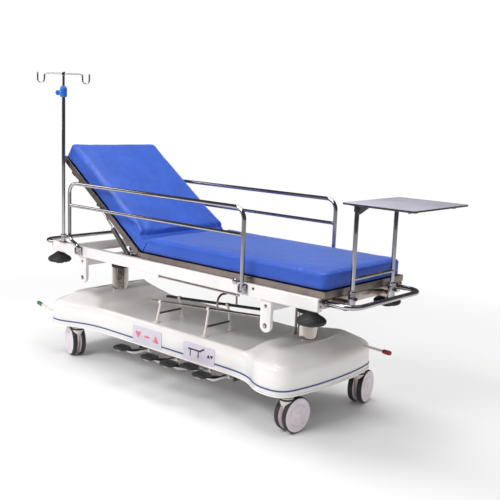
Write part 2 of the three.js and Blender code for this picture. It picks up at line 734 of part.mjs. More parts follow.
function hookRod() {
  const yaw = THREE.MathUtils.degToRad(hookYaw);
  const at = (along, z) => [poleX + along * Math.cos(yaw), poleY + along * Math.sin(yaw), z];
  const stem = rod([poleX, poleY, 1000], [poleX, poleY, hookTop], poleRadius - 2.6, 16);
  const bar = hookTop - 12;
  const hooks = [-1, 1].map((s) => tube([
    at(0, bar), at(s * (hookHalfSpan - 36), bar), at(s * (hookHalfSpan - 34), bar - hookDepth),
    at(s * hookHalfSpan, bar - hookDepth), at(s * hookHalfSpan, bar),
  ], 4, [10, 14, 14], 8));
  return join(stem, ...hooks);
}

// ---------------------------------------------------------------- foot table
function tableFrame() {
  const underside = table.topZ - table.thickness - gap;
  const parts = [rod([tablePost.x, -tablePost.y, 691], [tablePost.x, tablePost.y, 691], 8)];
  for (const sign of [-1, 1]) {
    const y = sign * tablePost.y;
    parts.push(rod([tablePost.x, y, 573 + gap], [tablePost.x, y, underside - 6], tablePost.radius));
    parts.push(box(table.headX + 8, table.footX - 30, y - 10, y + 10, underside - 8, underside));
    parts.push(plateXZ([[tablePost.x, underside - 42], [tablePost.x + 60, underside - 4], [tablePost.x,
        underside - 4]],
      y - 3, y + 3));
  }
  return join(...parts);
}

function tableTop() {
  const plan = softOutline([[table.headX, -table.half, 14], [table.footX, -table.half, 14],
    [table.footX, table.half, 14], [table.headX, table.half, 14]]);
  return slab(plan, table.topZ - table.thickness, table.topZ);
}

// ---------------------------------------------------------------- assembly
piece('base_cover', baseCover(), moulding);
piece('base_stripe', baseStripe(), navyTrim);
piece('chassis', chassis(), darkSteel);
piece('head_column_sleeve', columnSleeve(columnX.head), chrome);
piece('foot_column_sleeve', columnSleeve(columnX.foot), chrome);
piece('head_mid_tube', midTube(columnX.head), chrome);
piece('foot_mid_tube', midTube(columnX.foot, columnX.foot - guideOffset), chrome);
piece('head_piston', piston(columnX.head), chrome);
piece('foot_piston', piston(columnX.foot), chrome);
piece('bottle_cradle', bottleCradle(), steel);
eachCorner(castor);

const shaftEnd = (x) => [x, pedalShaft.y, pedalShaft.z];
piece('pedal_shaft', rod(shaftEnd(pedalX[0] - 62), shaftEnd(pedalX[4] + 62), 10, 16), steel);
pedalX.forEach((x, i) => piece(`pedal_${i + 1}`, pedalLever(x, pedalPadY[i]), rubber));
for (const end of ['head', 'foot']) piece(`lock_lever_${end}`, lockLever(end), chrome);

piece('head_trunnion', rod([columnX.head, -60, pivotZ], [columnX.head, 60, pivotZ], 11, 16), steel);
piece('side_rail_near', sideRail(-1), paint);
piece('side_rail_far', sideRail(1), paint);
piece('head_cross_member', crossMember(-745, -715), paint);
piece('foot_cross_member', footCrossMember(), paint);
piece('head_saddle', saddle(columnX.head + 55), paint);
piece('foot_saddle', saddle(columnX.foot), paint);
piece('rail_tie_rod_near', railTieRod(-1), darkSteel);
piece('seat_frame', seatFrame(), steel);
piece('seat_board', seatBoard(), darkSteel);
piece('seat_cushion', seatCushion(), blueLeatherette);
piece('back_hinge_pin', rod([backHinge.x, -293, backHinge.z], [backHinge.x, 293, backHinge.z], 6, 12), steel);
for (const end of ['head', 'foot']) piece(`push_handle_${end}`, endHandle(end), chrome);
eachCorner((end, side, sign) => piece(`bumper_${end}_${side}`, bumper(bumperX[end], sign * bumperY), rubber));
piece('side_guard_near', guardFrame(-1), chrome);
piece('side_guard_far', guardFrame(1), chrome);

const backrest = new THREE.Group();
backrest.position.set(backHinge.x, 0, backHinge.z);
backrest.rotation.y = THREE.MathUtils.degToRad(backAngle);
trolley.add(backrest);
piece('back_frame', backFrame(), steel, backrest);
piece('back_board', backBoard(), darkSteel, backrest);
piece('back_cushion', backCushion(), blueLeatherette, backrest);
piece('release_lever', releaseLever(), rubber, backrest);
piece('strut_cylinder', strutCylinder(), darkSteel);
piece('strut_rod', strutRod(), chrome);

piece('drip_pole_socket', poleSocket(), steel);
piece('drip_pole', pole(), chrome);
piece('drip_pole_collar', poleCollar(), bluePlastic);
piece('drip_pole_knob', poleKnob(), bluePlastic);
piece('drip_hook_rod', hookRod(), chrome);
piece('table_frame', tableFrame(), chrome);
piece('table_top', tableTop(), smokedAcrylic);

export default trolley;
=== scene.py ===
import json
import math

import bmesh
import bpy
from mathutils import Matrix, Quaternion, Vector, noise
from mathutils.bvhtree import BVHTree


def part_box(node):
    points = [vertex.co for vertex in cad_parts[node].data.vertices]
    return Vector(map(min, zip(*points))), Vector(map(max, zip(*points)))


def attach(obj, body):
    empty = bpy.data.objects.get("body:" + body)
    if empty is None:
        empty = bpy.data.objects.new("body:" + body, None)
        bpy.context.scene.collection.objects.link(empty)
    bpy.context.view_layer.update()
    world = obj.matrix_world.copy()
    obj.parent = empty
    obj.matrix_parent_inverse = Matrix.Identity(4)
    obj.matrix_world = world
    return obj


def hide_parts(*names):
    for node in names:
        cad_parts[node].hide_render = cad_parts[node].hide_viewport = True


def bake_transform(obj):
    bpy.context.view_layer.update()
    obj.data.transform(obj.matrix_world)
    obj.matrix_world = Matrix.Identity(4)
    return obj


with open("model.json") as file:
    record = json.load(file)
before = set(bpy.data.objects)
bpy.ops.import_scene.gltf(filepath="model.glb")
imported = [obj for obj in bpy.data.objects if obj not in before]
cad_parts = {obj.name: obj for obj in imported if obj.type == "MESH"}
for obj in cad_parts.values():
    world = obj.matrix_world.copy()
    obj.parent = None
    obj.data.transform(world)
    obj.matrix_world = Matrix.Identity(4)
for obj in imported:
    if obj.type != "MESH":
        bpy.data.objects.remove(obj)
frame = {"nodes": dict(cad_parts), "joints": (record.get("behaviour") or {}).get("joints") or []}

UP = Vector((0, 0, 1))
JOINTS = {joint["name"]: joint for joint in frame["joints"]}
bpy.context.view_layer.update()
ENDS = (("head", -1), ("foot", 1))
SIDES = (("near", -1), ("far", 1))


# ---------------------------------------------------------------- places
def pivot(name):
    return Vector(JOINTS[name]["pos_m"])


def axis(name):
    return Vector(JOINTS[name]["axis"])


def corners_of(node, turn=Matrix.Identity(4)):
    """Lowest and highest corner of a node after it is turned back by a matrix."""
    points = [turn @ v.co for v in frame["nodes"][node].data.vertices]
    low = Vector(min(p[i] for p in points) for i in range(3))
    high = Vector(max(p[i] for p in points) for i in range(3))
    return low, high


def middle_of(node):
    low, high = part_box(node)
    return (low + high) / 2


def about(point, angle, letter):
    return Matrix.Translation(point) @ Matrix.Rotation(angle, 4, letter) @ Matrix.Translation(-point)


BACK_ANGLE = math.radians(-JOINTS["backrest_tilt"]["range_deg"][0])
BACK_TURN = about(pivot("backrest_tilt"), BACK_ANGLE, "Y")
FLAT_TURN = BACK_TURN.inverted()


# ---------------------------------------------------------------- closed bodies, as (points, faces)
def eased(points, bend, steps=4, closed=False):
    """A line of points in 2-D or 3-D whose corners are rounded off."""
    count = len(points)
    points = [Vector(p) for p in points]
    made = []
    for i, corner in enumerate(points):
        if not closed and i in (0, count - 1):
            made.append(corner)
            continue
        before, after = points[i - 1], points[(i + 1) % count]
        size = bend[i] if isinstance(bend, (list, tuple)) else bend
        start = corner + (before - corner).normalized() * min(size, (before - corner).length * 0.48)
        end = corner + (after - corner).normalized() * min(size, (after - corner).length * 0.48)
        for s in range(steps + 1):
            t = s / steps
            made.append(start * (1 - t) ** 2 + corner * 2 * t * (1 - t) + end * t ** 2)
    return made


def bent(corners, bend, steps=10):
    """Straight runs joined by true arcs, of one radius or of one for each inner corner."""
    corners = [Vector(c) for c in corners]
    made = [corners[0]]
    bends = bend if isinstance(bend, (list, tuple)) else [bend] * len(corners)
    for before, corner, after, size in zip(corners, corners[1:], corners[2:], bends):
        inward = (corner - before).normalized()
        outward = (after - corner).normalized()
        turn = inward.angle(outward)
        if turn < 1e-4:
            continue
        radius = min(size, 0.48 * min((corner - before).length, (after - corner).length) / math.tan(turn / 2))
        start = corner - inward * radius * math.tan(turn / 2)
        side = (outward - inward * inward.dot(outward)).normalized()
        centre = start + side * radius
        for s in range(steps + 1):
            angle = turn * s / steps
            made.append(centre - side * radius * math.cos(angle) + inward * radius * math.sin(angle))
    made.append(corners[-1])
    return made


def hoops(rows, count, closed=False):
    """Faces between rows of points that each go once round."""
    faces = []
    for r in range(rows if closed else rows - 1):
        here, there = r * count, (r + 1) % rows * count
        for s in range(count):
            after = (s + 1) % count
            faces.append([here + s, here + after, there + after, there + s])
    return faces


def sweep(path, radius, sides=20):
    """A round bar or tube along a path, with slightly domed ends."""
    path = [Vector(p) for p in path]
    points = []
    forward = (path[1] - path[0]).normalized()
    across = forward.orthogonal().normalized()
    for i, point in enumerate(path):
        before = (point - path[i - 1]).normalized() if i else forward
        after = (path[i + 1] - point).normalized() if i + 1 < len(path) else before
        heading = (before + after).normalized()
        across = (across - heading * across.dot(heading)).normalized()
        up = heading.cross(across)
        widen = 1 / max(0.5, before.dot(heading))
        for s in range(sides):
            angle = 2 * math.pi * s / sides
            points.append(point + (across * math.cos(angle) + up * math.sin(angle)) * radius * widen)
    faces = hoops(len(path), sides)
    dome = radius * 0.25
    last = path[-1] + (path[-1] - path[-2]).normalized() * dome
    for row, tip in ((0, path[0] - forward * dome), (len(path) - 1, last)):
        points.append(tip)
        for s in range(sides):
            faces.append([row * sides + s, row * sides + (s + 1) % sides, len(points) - 1])
    return points, faces


def lathe(profile, at=(0, 0, 0), along=UP, segments=48, closed=False, soften=0.0):
    """A profile of (radius, height) turned about a line through at."""
    if soften:
        profile = [tuple(p) for p in eased(profile, soften, 3, closed)]
    turn = Vector(along).to_track_quat("Z", "Y").to_matrix()
    points, rows, faces = [], [], []
    for radius, height in profile:
        count = 1 if radius < 1e-6 else segments
        rows.append(list(range(len(points), len(points) + count)))
        for s in range(count):
            angle = 2 * math.pi * s / segments
            rim = Vector((radius * math.cos(angle), radius * math.sin(angle), height))
            spot = rim if count > 1 else UP * height
            points.append(Vector(at) + turn @ spot)
    pairs = list(zip(rows, rows[1:])) + ([(rows[-1], rows[0])] if closed else [])
    for low, high in pairs:
        for s in range(segments):
            after = s + 1
            loop = [low[s % len(low)], low[after % len(low)], high[after % len(high)], high[s % len(high)]]
            face = list(dict.fromkeys(loop))
            if len(face) > 2:
                faces.append(face)
    return points, faces


def disc(radius, start, end, segments=32, soften=0.0015):
    """A round bar between two points, with eased rims."""
    start, end = Vector(start), Vector(end)
    length = (end - start).length
    profile = [(0, 0), (radius, 0), (radius, length), (0, length)]
    return lathe(profile, start, end - start, segments, soften=min(soften, length * 0.4))


def ring(outer, inner, start, end, segments=48, soften=0.0008):
    """A tube with a wall between two points."""
    start, end = Vector(start), Vector(end)
    length = (end - start).length
    profile = [(inner, 0), (outer, 0), (outer, length), (inner, length)]
    return lathe(profile, start, end - start, segments, closed=True, soften=soften)


def shrunk(outline, inset):
    """A counter-clockwise outline moved inwards."""
    made = []
    for i, point in enumerate(outline):
        before = (point - outline[i - 1]).normalized()
        after = (outline[(i + 1) % len(outline)] - point).normalized()
        normal = Vector((-before.y - after.y, before.x + after.x))
        normal = normal.normalized() if normal.length > 1e-9 else Vector((-after.y, after.x))
        stretch = 1 / max(0.6, normal.dot(Vector((-after.y, after.x))))
        made.append(point + normal * inset * stretch)
    return made


PLANES = {
    "XY": lambda a, b, d: Vector((a, b, d)),
    "XZ": lambda a, b, d: Vector((a, d, b)),
    "YZ": lambda a, b, d: Vector((d, a, b)),
}


def plate(outline, low, high, plane="XY", bevel=0.001, bend=0.0, steps=4):
    """An outline pushed from low to high across a plane, with eased rims."""
    outline = [Vector(p) for p in outline]
    if bend:
        outline = eased(outline, bend, steps, closed=True)
    area = sum(a.x * b.y - b.x * a.y for a, b in zip(outline, outline[1:] + outline[:1]))
    if area < 0:
        outline.reverse()
    place = PLANES[plane]
    bevel = min(bevel, (high - low) * 0.45)
    layers = [(low, bevel), (low + bevel * 0.3, bevel * 0.3), (low + bevel, 0),
              (high - bevel, 0), (high - bevel * 0.3, bevel * 0.3), (high, bevel)]
    points = []
    count = len(outline)
    for depth, inset in layers:
        points += [place(p.x, p.y, depth) for p in shrunk(outline, inset)]
    faces = hoops(len(layers), count)
    faces.append(list(range(count)))
    faces.append(list(range((len(layers) - 1) * count, len(layers) * count)))
    return points, faces


def block(low, high, bevel=0.0015):
    """A box with eased edges."""
    low, high = Vector(low), Vector(high)
    low, high = Vector(map(min, low, high)), Vector(map(max, low, high))
    bm = bmesh.new()
    bmesh.ops.create_cube(bm, size=1)
    for vertex in bm.verts:
        vertex.co = Vector(low[i] + (vertex.co[i] + 0.5) * (high[i] - low[i]) for i in range(3))
    size = min(bevel, min(high - low) * 0.45)
    bmesh.ops.bevel(bm, geom=bm.edges, offset=size, segments=2, profile=0.5, affect="EDGES")
    bm.verts.ensure_lookup_table()
    points = [v.co.copy() for v in bm.verts]
    faces = [[v.index for v in face.verts] for face in bm.faces]
    bm.free()
    return points, faces


def moved(part, matrix):
    points, faces = part
    return [matrix @ p for p in points], faces


def oblong(x0, x1, y0, y1):
    return [(x0, y0), (x1, y0), (x1, y1), (x0, y1)]


def linked(name, data):
    """A new object in the scene."""
    obj = bpy.data.objects.new(name, data)
    bpy.context.scene.collection.objects.link(obj)
    return obj


class Shape:
    """Gathers closed bodies, each with its own material, into one piece."""

    def __init__(self, name):
        self.name = name
        self.points, self.faces, self.paints, self.materials = [], [], [], []

    def add(self, part, material, place=None):
        points, faces = moved(part, place) if place else part
        start = len(self.points)
        self.points += points
        self.faces += [[start + i for i in face] for face in faces]
        if material not in self.materials:
            self.materials.append(material)
        self.paints += [self.materials.index(material)] * len(faces)
        return self

    def build(self, body, slot, *nodes, crease=38):
        mesh = bpy.data.meshes.new(self.name)
        mesh.from_pydata(self.points, [], self.faces)
        for material in self.materials:
            mesh.materials.append(material)
        mesh.polygons.foreach_set("material_index", self.paints)
        obj = linked(self.name, mesh)
        tidy(mesh, crease)
        if body:
            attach(obj, body)
        if nodes:
            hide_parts(*nodes)
        return obj


def tidy(mesh, crease):
    """Welds, turns faces outwards and shades smooth up to an angle."""
    bm = bmesh.new()
    bm.from_mesh(mesh)
    bmesh.ops.remove_doubles(bm, verts=bm.verts, dist=1e-6)
    bmesh.ops.recalc_face_normals(bm, faces=bm.faces)
    bm.to_mesh(mesh)
    bm.free()
    mesh.shade_smooth()
    mesh.set_sharp_from_angle(angle=math.radians(crease))


# ---------------------------------------------------------------- materials
class Paint:
    """A material with one Principled shader and textures at real scale."""

    def __init__(self, name, color, roughness, metallic=0.0, **sockets):
        self.material = bpy.data.materials.new(name)
        self.material.use_nodes = True
        self.nodes = self.material.node_tree.nodes
        self.links = self.material.node_tree.links
        self.shader = self.nodes["Principled BSDF"]
        self.color, self.roughness = color, roughness
        self.set("Base Color", (*color, 1))
        self.set("Roughness", roughness)
        self.set("Metallic", metallic)
        for socket, value in sockets.items():
            self.set(socket.replace("_", " "), value)
        self.coordinates = self.nodes.new("ShaderNodeTexCoord").outputs["Object"]
        self.height = None

    def set(self, socket, value):
        self.shader.inputs[socket].default_value = value

    def noise(self, size, detail=3.0, stretch=(1, 1, 1), roughness=0.5):
        """A noise whose features are about size metres across."""
        mapping = self.nodes.new("ShaderNodeMapping")
        mapping.inputs["Scale"].default_value = tuple(1 / (size * s) for s in stretch)
        self.links.new(self.coordinates, mapping.inputs["Vector"])
        texture = self.nodes.new("ShaderNodeTexNoise")
        texture.inputs["Scale"].default_value = 1.0
        texture.inputs["Detail"].default_value = detail
        texture.inputs["Roughness"].default_value = roughness
        self.links.new(mapping.outputs["Vector"], texture.inputs["Vector"])
        return texture.outputs["Fac"]

    def cells(self, size):
        texture = self.nodes.new("ShaderNodeTexVoronoi")
        texture.inputs["Scale"].default_value = 1 / size
        self.links.new(self.coordinates, texture.inputs["Vector"])
        return texture.outputs["Distance"]

    def spread(self, factor, low, high, start=0.3, end=0.7):
        node = self.nodes.new("ShaderNodeMapRange")
        node.inputs["From Min"].default_value = start
        node.inputs["From Max"].default_value = end
        node.inputs["To Min"].default_value = low
        node.inputs["To Max"].default_value = high
        self.links.new(factor, node.inputs["Value"])
        return node.outputs["Result"]

    def tint(self, factor, other, start=0.35, end=0.65):
        """The colour drifts from its own value to another along a noise."""
        node = self.nodes.new("ShaderNodeMix")
        node.data_type = "RGBA"
        self.links.new(self.spread(factor, 0, 1, start, end), node.inputs["Factor"])
        node.inputs["A"].default_value = (*self.color, 1)
        node.inputs["B"].default_value = (*other, 1)
        self.links.new(node.outputs["Result"], self.shader.inputs["Base Color"])
        return self

    def wear(self, factor, low, high):
        self.links.new(self.spread(factor, low, high), self.shader.inputs["Roughness"])
        return self

    def relief(self, factor, depth, strength=1.0):
        """A bump of depth metres."""
        node = self.nodes.new("ShaderNodeBump")
        node.inputs["Strength"].default_value = strength
        node.inputs["Distance"].default_value = depth
        self.links.new(factor, node.inputs["Height"])
        if self.height:
            self.links.new(self.height, node.inputs["Normal"])
        self.height = node.outputs["Normal"]
        self.links.new(self.height, self.shader.inputs["Normal"])
        return self


def chrome(name, color, other):
    paint = Paint(name, color, 0.07, 1.0)
    paint.tint(paint.noise(0.09), other)
    paint.wear(paint.noise(0.02, 5), 0.04, 0.12)
    return paint.relief(paint.noise(0.012), 0.00012, 0.35).material


def shaded_warm_chrome():
    """Brownish plated bars, darker than the other chrome: the darkening is painted shade, as for bars under
    the platform.
    """
    paint = Paint("shaded_warm_chrome", (0.50, 0.44, 0.41), 0.16, 1.0)
    paint.tint(paint.noise(0.07), (0.34, 0.29, 0.27))
    paint.wear(paint.noise(0.02, 5), 0.10, 0.24)
    return paint.relief(paint.noise(0.01), 0.0001, 0.4).material


def brushed():
    paint = Paint("brushed_steel", (0.34, 0.28, 0.25), 0.30, 1.0)
    lines = paint.noise(0.0016, 4, (60, 1, 1))
    paint.tint(paint.noise(0.08), (0.24, 0.20, 0.18))
    paint.wear(lines, 0.22, 0.38)
    return paint.relief(lines, 0.00006, 0.5).material


def white_paint():
    paint = Paint("white_paint", (0.86, 0.83, 0.83), 0.33, Coat_Weight=0.25)
    paint.tint(paint.noise(0.12), (0.80, 0.76, 0.77))
    paint.wear(paint.noise(0.03), 0.26, 0.40)
    return paint.relief(paint.noise(0.0016, 2), 0.00008, 0.5).material


def moulding():
    paint = Paint("cover_moulding", (0.88, 0.86, 0.86), 0.20, Coat_Weight=0.5, Coat_Roughness=0.06)
    paint.tint(paint.noise(0.22), (0.83, 0.81, 0.79))
    paint.wear(paint.noise(0.05), 0.15, 0.27)
    paint.relief(paint.noise(0.05, 2), 0.0005, 0.25)
    return paint.relief(paint.noise(0.0009, 2), 0.00004, 0.5).material


def plain_plastic(name, color, other, roughness=0.38):
    paint = Paint(name, color, roughness)
    paint.tint(paint.noise(0.03), other)
    paint.wear(paint.noise(0.01), roughness - 0.07, roughness + 0.08)
    return paint.relief(paint.noise(0.0008, 2), 0.00005, 0.6).material


def rubber(name, color, other, grain=0.0011):
    paint = Paint(name, color, 0.55)
    paint.tint(paint.noise(0.015), other)
    paint.wear(paint.noise(0.006), 0.45, 0.68)
    return paint.relief(paint.cells(grain), 0.00012, 0.6).material


def dark_steel():
    paint = Paint("dark_steel", (0.10, 0.10, 0.105), 0.42, 0.3)
    paint.tint(paint.noise(0.05), (0.065, 0.065, 0.07))
    paint.wear(paint.noise(0.015), 0.34, 0.55)
    return paint.relief(paint.noise(0.0015, 2), 0.0001, 0.6).material


def laminate():
    paint = Paint("board_laminate", (0.055, 0.055, 0.06), 0.5)
    paint.tint(paint.noise(0.04), (0.035, 0.035, 0.04))
    paint.wear(paint.noise(0.01), 0.4, 0.62)
    return paint.relief(paint.noise(0.0012, 3), 0.0001, 0.5).material


def leatherette():
    """Coated upholstery fabric: a fine pebble over a slow unevenness, with a soft sheen."""
    paint = Paint("cushion_fabric", (0.026, 0.098, 0.520), 0.40, Sheen_Weight=0.65, Sheen_Roughness=0.32,
                  Specular_IOR_Level=0.42)
    paint.set("Sheen Tint", (0.60, 0.72, 1.0, 1))
    paint.tint(paint.noise(0.16), (0.021, 0.082, 0.455))
    paint.wear(paint.noise(0.03), 0.36, 0.50)
    paint.relief(paint.noise(0.09, 2), 0.0016, 0.35)
    return paint.relief(paint.cells(0.0013), 0.00010, 0.55).material


def smoked_acrylic():
    paint = Paint("smoked_acrylic", (0.52, 0.51, 0.59), 0.22, IOR=1.12, Alpha=0.88)
    paint.tint(paint.noise(0.2), (0.46, 0.45, 0.53))
    return paint.wear(paint.noise(0.05), 0.18, 0.26).material


def floor_paint():
    """Pale floor whose far part glows plain white, so that no horizon shows."""
    paint = Paint("floor", (0.93, 0.93, 0.93), 0.6)
    paint.tint(paint.noise(0.4), (0.915, 0.915, 0.918))
    nodes, links = paint.nodes, paint.links
    distance = nodes.new("ShaderNodeVectorMath")
    distance.operation = "LENGTH"
    links.new(paint.coordinates, distance.inputs[0])
    glow = nodes.new("ShaderNodeEmission")
    mix = nodes.new("ShaderNodeMixShader")
    ray = nodes.new("ShaderNodeLightPath")
    seen = nodes.new("ShaderNodeMath")
    seen.operation = "MULTIPLY"
    links.new(paint.spread(distance.outputs["Value"], 0, 1, *FLOOR_FADE), seen.inputs[0])
    links.new(ray.outputs["Is Camera Ray"], seen.inputs[1])
    links.new(seen.outputs["Value"], mix.inputs["Fac"])
    links.new(paint.shader.outputs["BSDF"], mix.inputs[1])
    links.new(glow.outputs["Emission"], mix.inputs[2])
    links.new(mix.outputs["Shader"], nodes["Material Output"].inputs["Surface"])
    return paint.relief(paint.noise(0.01), 0.0002, 0.3).material


CHROME = chrome("chrome", (0.50, 0.48, 0.50), (0.40, 0.385, 0.405))
COLUMN = chrome("column_chrome", (0.72, 0.65, 0.61), (0.60, 0.53, 0.49))
# brownish chrome whose darker colour is painted shade, for bars under the platform
SHADED_WARM_CHROME = shaded_warm_chrome()
BRUSHED = brushed()
WHITE = white_paint()
MOULDING = moulding()
DARK_STEEL = dark_steel()
LAMINATE = laminate()
FABRIC = leatherette()
ACRYLIC = smoked_acrylic()
ACRYLIC_EDGE = plain_plastic("acrylic_edge", (0.035, 0.040, 0.048), (0.02, 0.024, 0.03), 0.2)
NAVY = plain_plastic("trim_navy", (0.022, 0.075, 0.240), (0.018, 0.060, 0.195), 0.36)
LILAC = plain_plastic("castor_lilac", (0.80, 0.73, 0.79), (0.73, 0.66, 0.72))
CREAM = plain_plastic("castor_cream", (0.84, 0.78, 0.74), (0.77, 0.70, 0.66))
BLUE = plain_plastic("knob_blue", (0.010, 0.140, 0.580), (0.008, 0.11, 0.47), 0.28)
RED = plain_plastic("grip_red", (0.36, 0.060, 0.045), (0.28, 0.045, 0.035))
GREEN = plain_plastic("grip_green", (0.030, 0.20, 0.085), (0.024, 0.15, 0.065))
BLACK = rubber("black_rubber", (0.013, 0.013, 0.014), (0.022, 0.022, 0.023))
TYRE = rubber("tyre_rubber", (0.028, 0.027, 0.028), (0.042, 0.040, 0.041), 0.0016)
LABEL = plain_plastic("label_lilac", (0.70, 0.66, 0.76), (0.66, 0.61, 0.72), 0.3)
LABEL_PINK = plain_plastic("label_pink", (0.78, 0.20, 0.26), (0.70, 0.16, 0.22), 0.3)
LABEL_DARK = plain_plastic("label_dark", (0.045, 0.050, 0.075), (0.03, 0.034, 0.055), 0.3)


# ---------------------------------------------------------------- base
COVER_BULGE = 0.340              # half width over the castors
COVER_WAIST = 0.264              # half width between them
COVER_STEP = 0.050               # how far the valley lies below the ends
COVER_VALLEY = (0.252, 0.334)    # where the step starts and ends, from each end
COVER_WALL = 0.006
COVER_CROWN = [(0.000, 0.0), (0.096, 0.0), (0.118, 0.005), (0.132, 0.018), (0.143, 0.038),
               (0.163, 0.076), (0.1775, 0.104)]      # (height, inset) up the wall
COVER_EDGE = 0.007               # how softly the wall turns into the valley floor


def smoothstep(t):
    t = min(1.0, max(0.0, t))
    return t * t * (3 - 2 * t)


def cover_ring(inset):
    """The cover's outline drawn in by an inset, always with the same number of points."""
    low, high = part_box("base_cover")
    y = (low.y + high.y) / 2
    head, foot = low.x, high.x
    bulge, waist = COVER_BULGE - inset, COVER_WAIST - inset
    near = [
        (foot - inset, -0.130, 0.150), (foot - 0.034 - inset, -bulge, 0.080),
        (foot - 0.175, -bulge - 0.006, 0.060), (foot - 0.300, -waist, 0.110),
        (head + 0.300, -waist, 0.130), (head + 0.115, -bulge - 0.006, 0.070),
        (head + 0.028 + inset, -bulge, 0.060), (head + inset, -0.130, 0.150),
    ]
    near.reverse()
    corners = near + [(x, -side, soft) for x, side, soft in reversed(near)]
    return eased([(x, y + side) for x, side, _ in corners], [soft for *_, soft in corners], 12, closed=True)


def cover_outline(inset=0.0, longest=0.022):
    """The ring with points added along its long sides, at the same places for every inset."""
    widest, ring_in = cover_ring(0.0), cover_ring(inset)
    made = []
    for a, b, c, d in zip(widest, widest[1:] + widest[:1], ring_in, ring_in[1:] + ring_in[:1]):
        count = max(1, math.ceil((b - a).length / longest))
        made += [c.lerp(d, i / count) for i in range(count)]
    return made


def soft_minimum(a, b):
    """The lower of two heights, with a rounded change-over."""
    gap = max(COVER_EDGE - abs(a - b), 0.0) / COVER_EDGE
    return min(a, b) - gap * gap * COVER_EDGE / 4


def cover_rise(x):
    """Share of the end height at a place along the cover: 1 at the ends, 0 in the valley."""
    low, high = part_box("base_cover")
    inside = min(x - low.x, high.x - x)
    return 1 - smoothstep((inside - COVER_VALLEY[0]) / (COVER_VALLEY[1] - COVER_VALLEY[0]))


def base_cover():
    low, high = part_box("base_cover")
    y = (low.y + high.y) / 2

    def roof(x):
        return high.z - COVER_STEP * (1 - cover_rise(x))

    outline = cover_outline()
    tops = [roof(p.x) for p in outline]
    rows = [[(p.x, p.y, low.z) for p in shrunk(outline, 0.004)]]
    crown = eased([(inset, rise) for rise, inset in COVER_CROWN], 0.012, 4)
    for inset, rise in crown:
        height = max(low.z + 0.004, low.z + rise)
        rows.append([(p.x, p.y, soft_minimum(height, top)) for p, top in zip(cover_outline(inset), tops)])
    rim = rows[-1]
    for share in (0.85, 0.6, 0.35, 0.12, 0):
        rows.append([(px, y + (py - y) * share, roof(px)) for px, py, _ in rim])
    mesh = bpy.data.meshes.new("base_cover_shell")
    mesh.from_pydata([p for row in rows for p in row], [], hoops(len(rows), len(outline)))
    mesh.materials.append(MOULDING)
    obj = linked("base_cover_shell", mesh)
    bm = bmesh.new()
    bm.from_mesh(mesh)
    bmesh.ops.remove_doubles(bm, verts=bm.verts, dist=2e-5)
    bmesh.ops.dissolve_degenerate(bm, edges=bm.edges, dist=1e-5)
    bmesh.ops.recalc_face_normals(bm, faces=bm.faces)
    bm.to_mesh(mesh)
    bm.free()
    mesh.shade_smooth()
    wall = obj.modifiers.new("wall", "SOLIDIFY")
    wall.thickness = COVER_WALL
    wall.offset = -1
    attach(obj, "base")
    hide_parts("base_cover")


def band(outline, low, high, proud):
    """A closed strip round an outline."""
    rows = [(low, 0.0), (low + 0.0006, -proud), (high - 0.0006, -proud), (high, 0.0)]
    points = []
    for height, inset in rows:
        points += [Vector((p.x, p.y, height)) for p in shrunk(outline, inset)]
    return points, hoops(len(rows), len(outline), closed=True)


def base_trim():
    low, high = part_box("base_stripe")
    stripe = Shape("stripe").add(band(cover_outline(), low.z, high.z, 0.0018), NAVY)
    stripe.build("base", "trim_stripe", "base_stripe")
    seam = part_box("base_cover")[0].z + 0.008
    skirt = Shape("cover_skirt").add(band(cover_outline(), seam - 0.0075, seam, 0.0022), MOULDING)
    skirt.build("base", "cover_moulding")


LABEL_SIZE = (0.214, 0.086)
PICTOGRAM_SIZE = (0.205, 0.082)


def sticker(name, x, z, size, paint):
    """A rounded panel on the near wall at its narrow part."""
    wall = middle_of("base_cover").y - COVER_WAIST
    outline = oblong(x - size[0] / 2, x + size[0] / 2, z - size[1] / 2, z + size[1] / 2)
    shape = Shape(name)
    shape.add(plate(outline, wall - 0.0028, wall + 0.001, "XZ", 0.0004, 0.008), paint)
    return shape, wall - 0.0028


def printed(shape, outline, face, paint, bend=0.0):
    """A flat mark that stands just proud of a panel."""
    shape.add(plate(outline, face - 0.0006, face + 0.001, "XZ", 0.0002, bend), paint)


def triangle(x, z, half, sign):
    return [(x - half, z - sign * half * 0.7), (x + half, z - sign * half * 0.7), (x, z + sign * half * 0.8)]


def stickers():
    """Two instruction panels with arrows and plain bars in place of lettering."""
    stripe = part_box("base_stripe")[0].z
    press = [pivot(f"pedal_{i}_press").x for i in range(1, 6)]
    x, z = press[0] + 0.052, stripe + 0.030
    shape, face = sticker("arrow_panel", x, z, LABEL_SIZE, LABEL)
    for dx, sign in ((-0.066, -1), (0.066, 1)):
        printed(shape, triangle(x + dx, z, 0.024, sign), face, LABEL_PINK, 0.003)
    printed(shape, oblong(x - 0.020, x + 0.020, z - 0.005, z + 0.005), face, LABEL_PINK, 0.002)
    shape.build("base", "cover_moulding")
    x = (press[2] + press[4]) / 2 - 0.030
    shape, face = sticker("pictogram_panel", x, z, PICTOGRAM_SIZE, LABEL)
    bed = [(-0.070, 0.010), (0.006, 0.010), (0.036, 0.026), (0.040, 0.020), (0.010, 0.002), (-0.070, 0.002)]
    printed(shape, [(x + a, z + b + 0.006) for a, b in bed], face, LABEL_DARK)
    for dx in (-0.058, -0.006):
        printed(shape, oblong(x + dx, x + dx + 0.006, z - 0.022, z + 0.008), face, LABEL_DARK)
    for dx, sign in ((0.064, 1), (0.084, -1)):
        printed(shape, triangle(x + dx, z, 0.011, sign), face, LABEL_DARK, 0.001)
    shape.build("base", "cover_moulding")


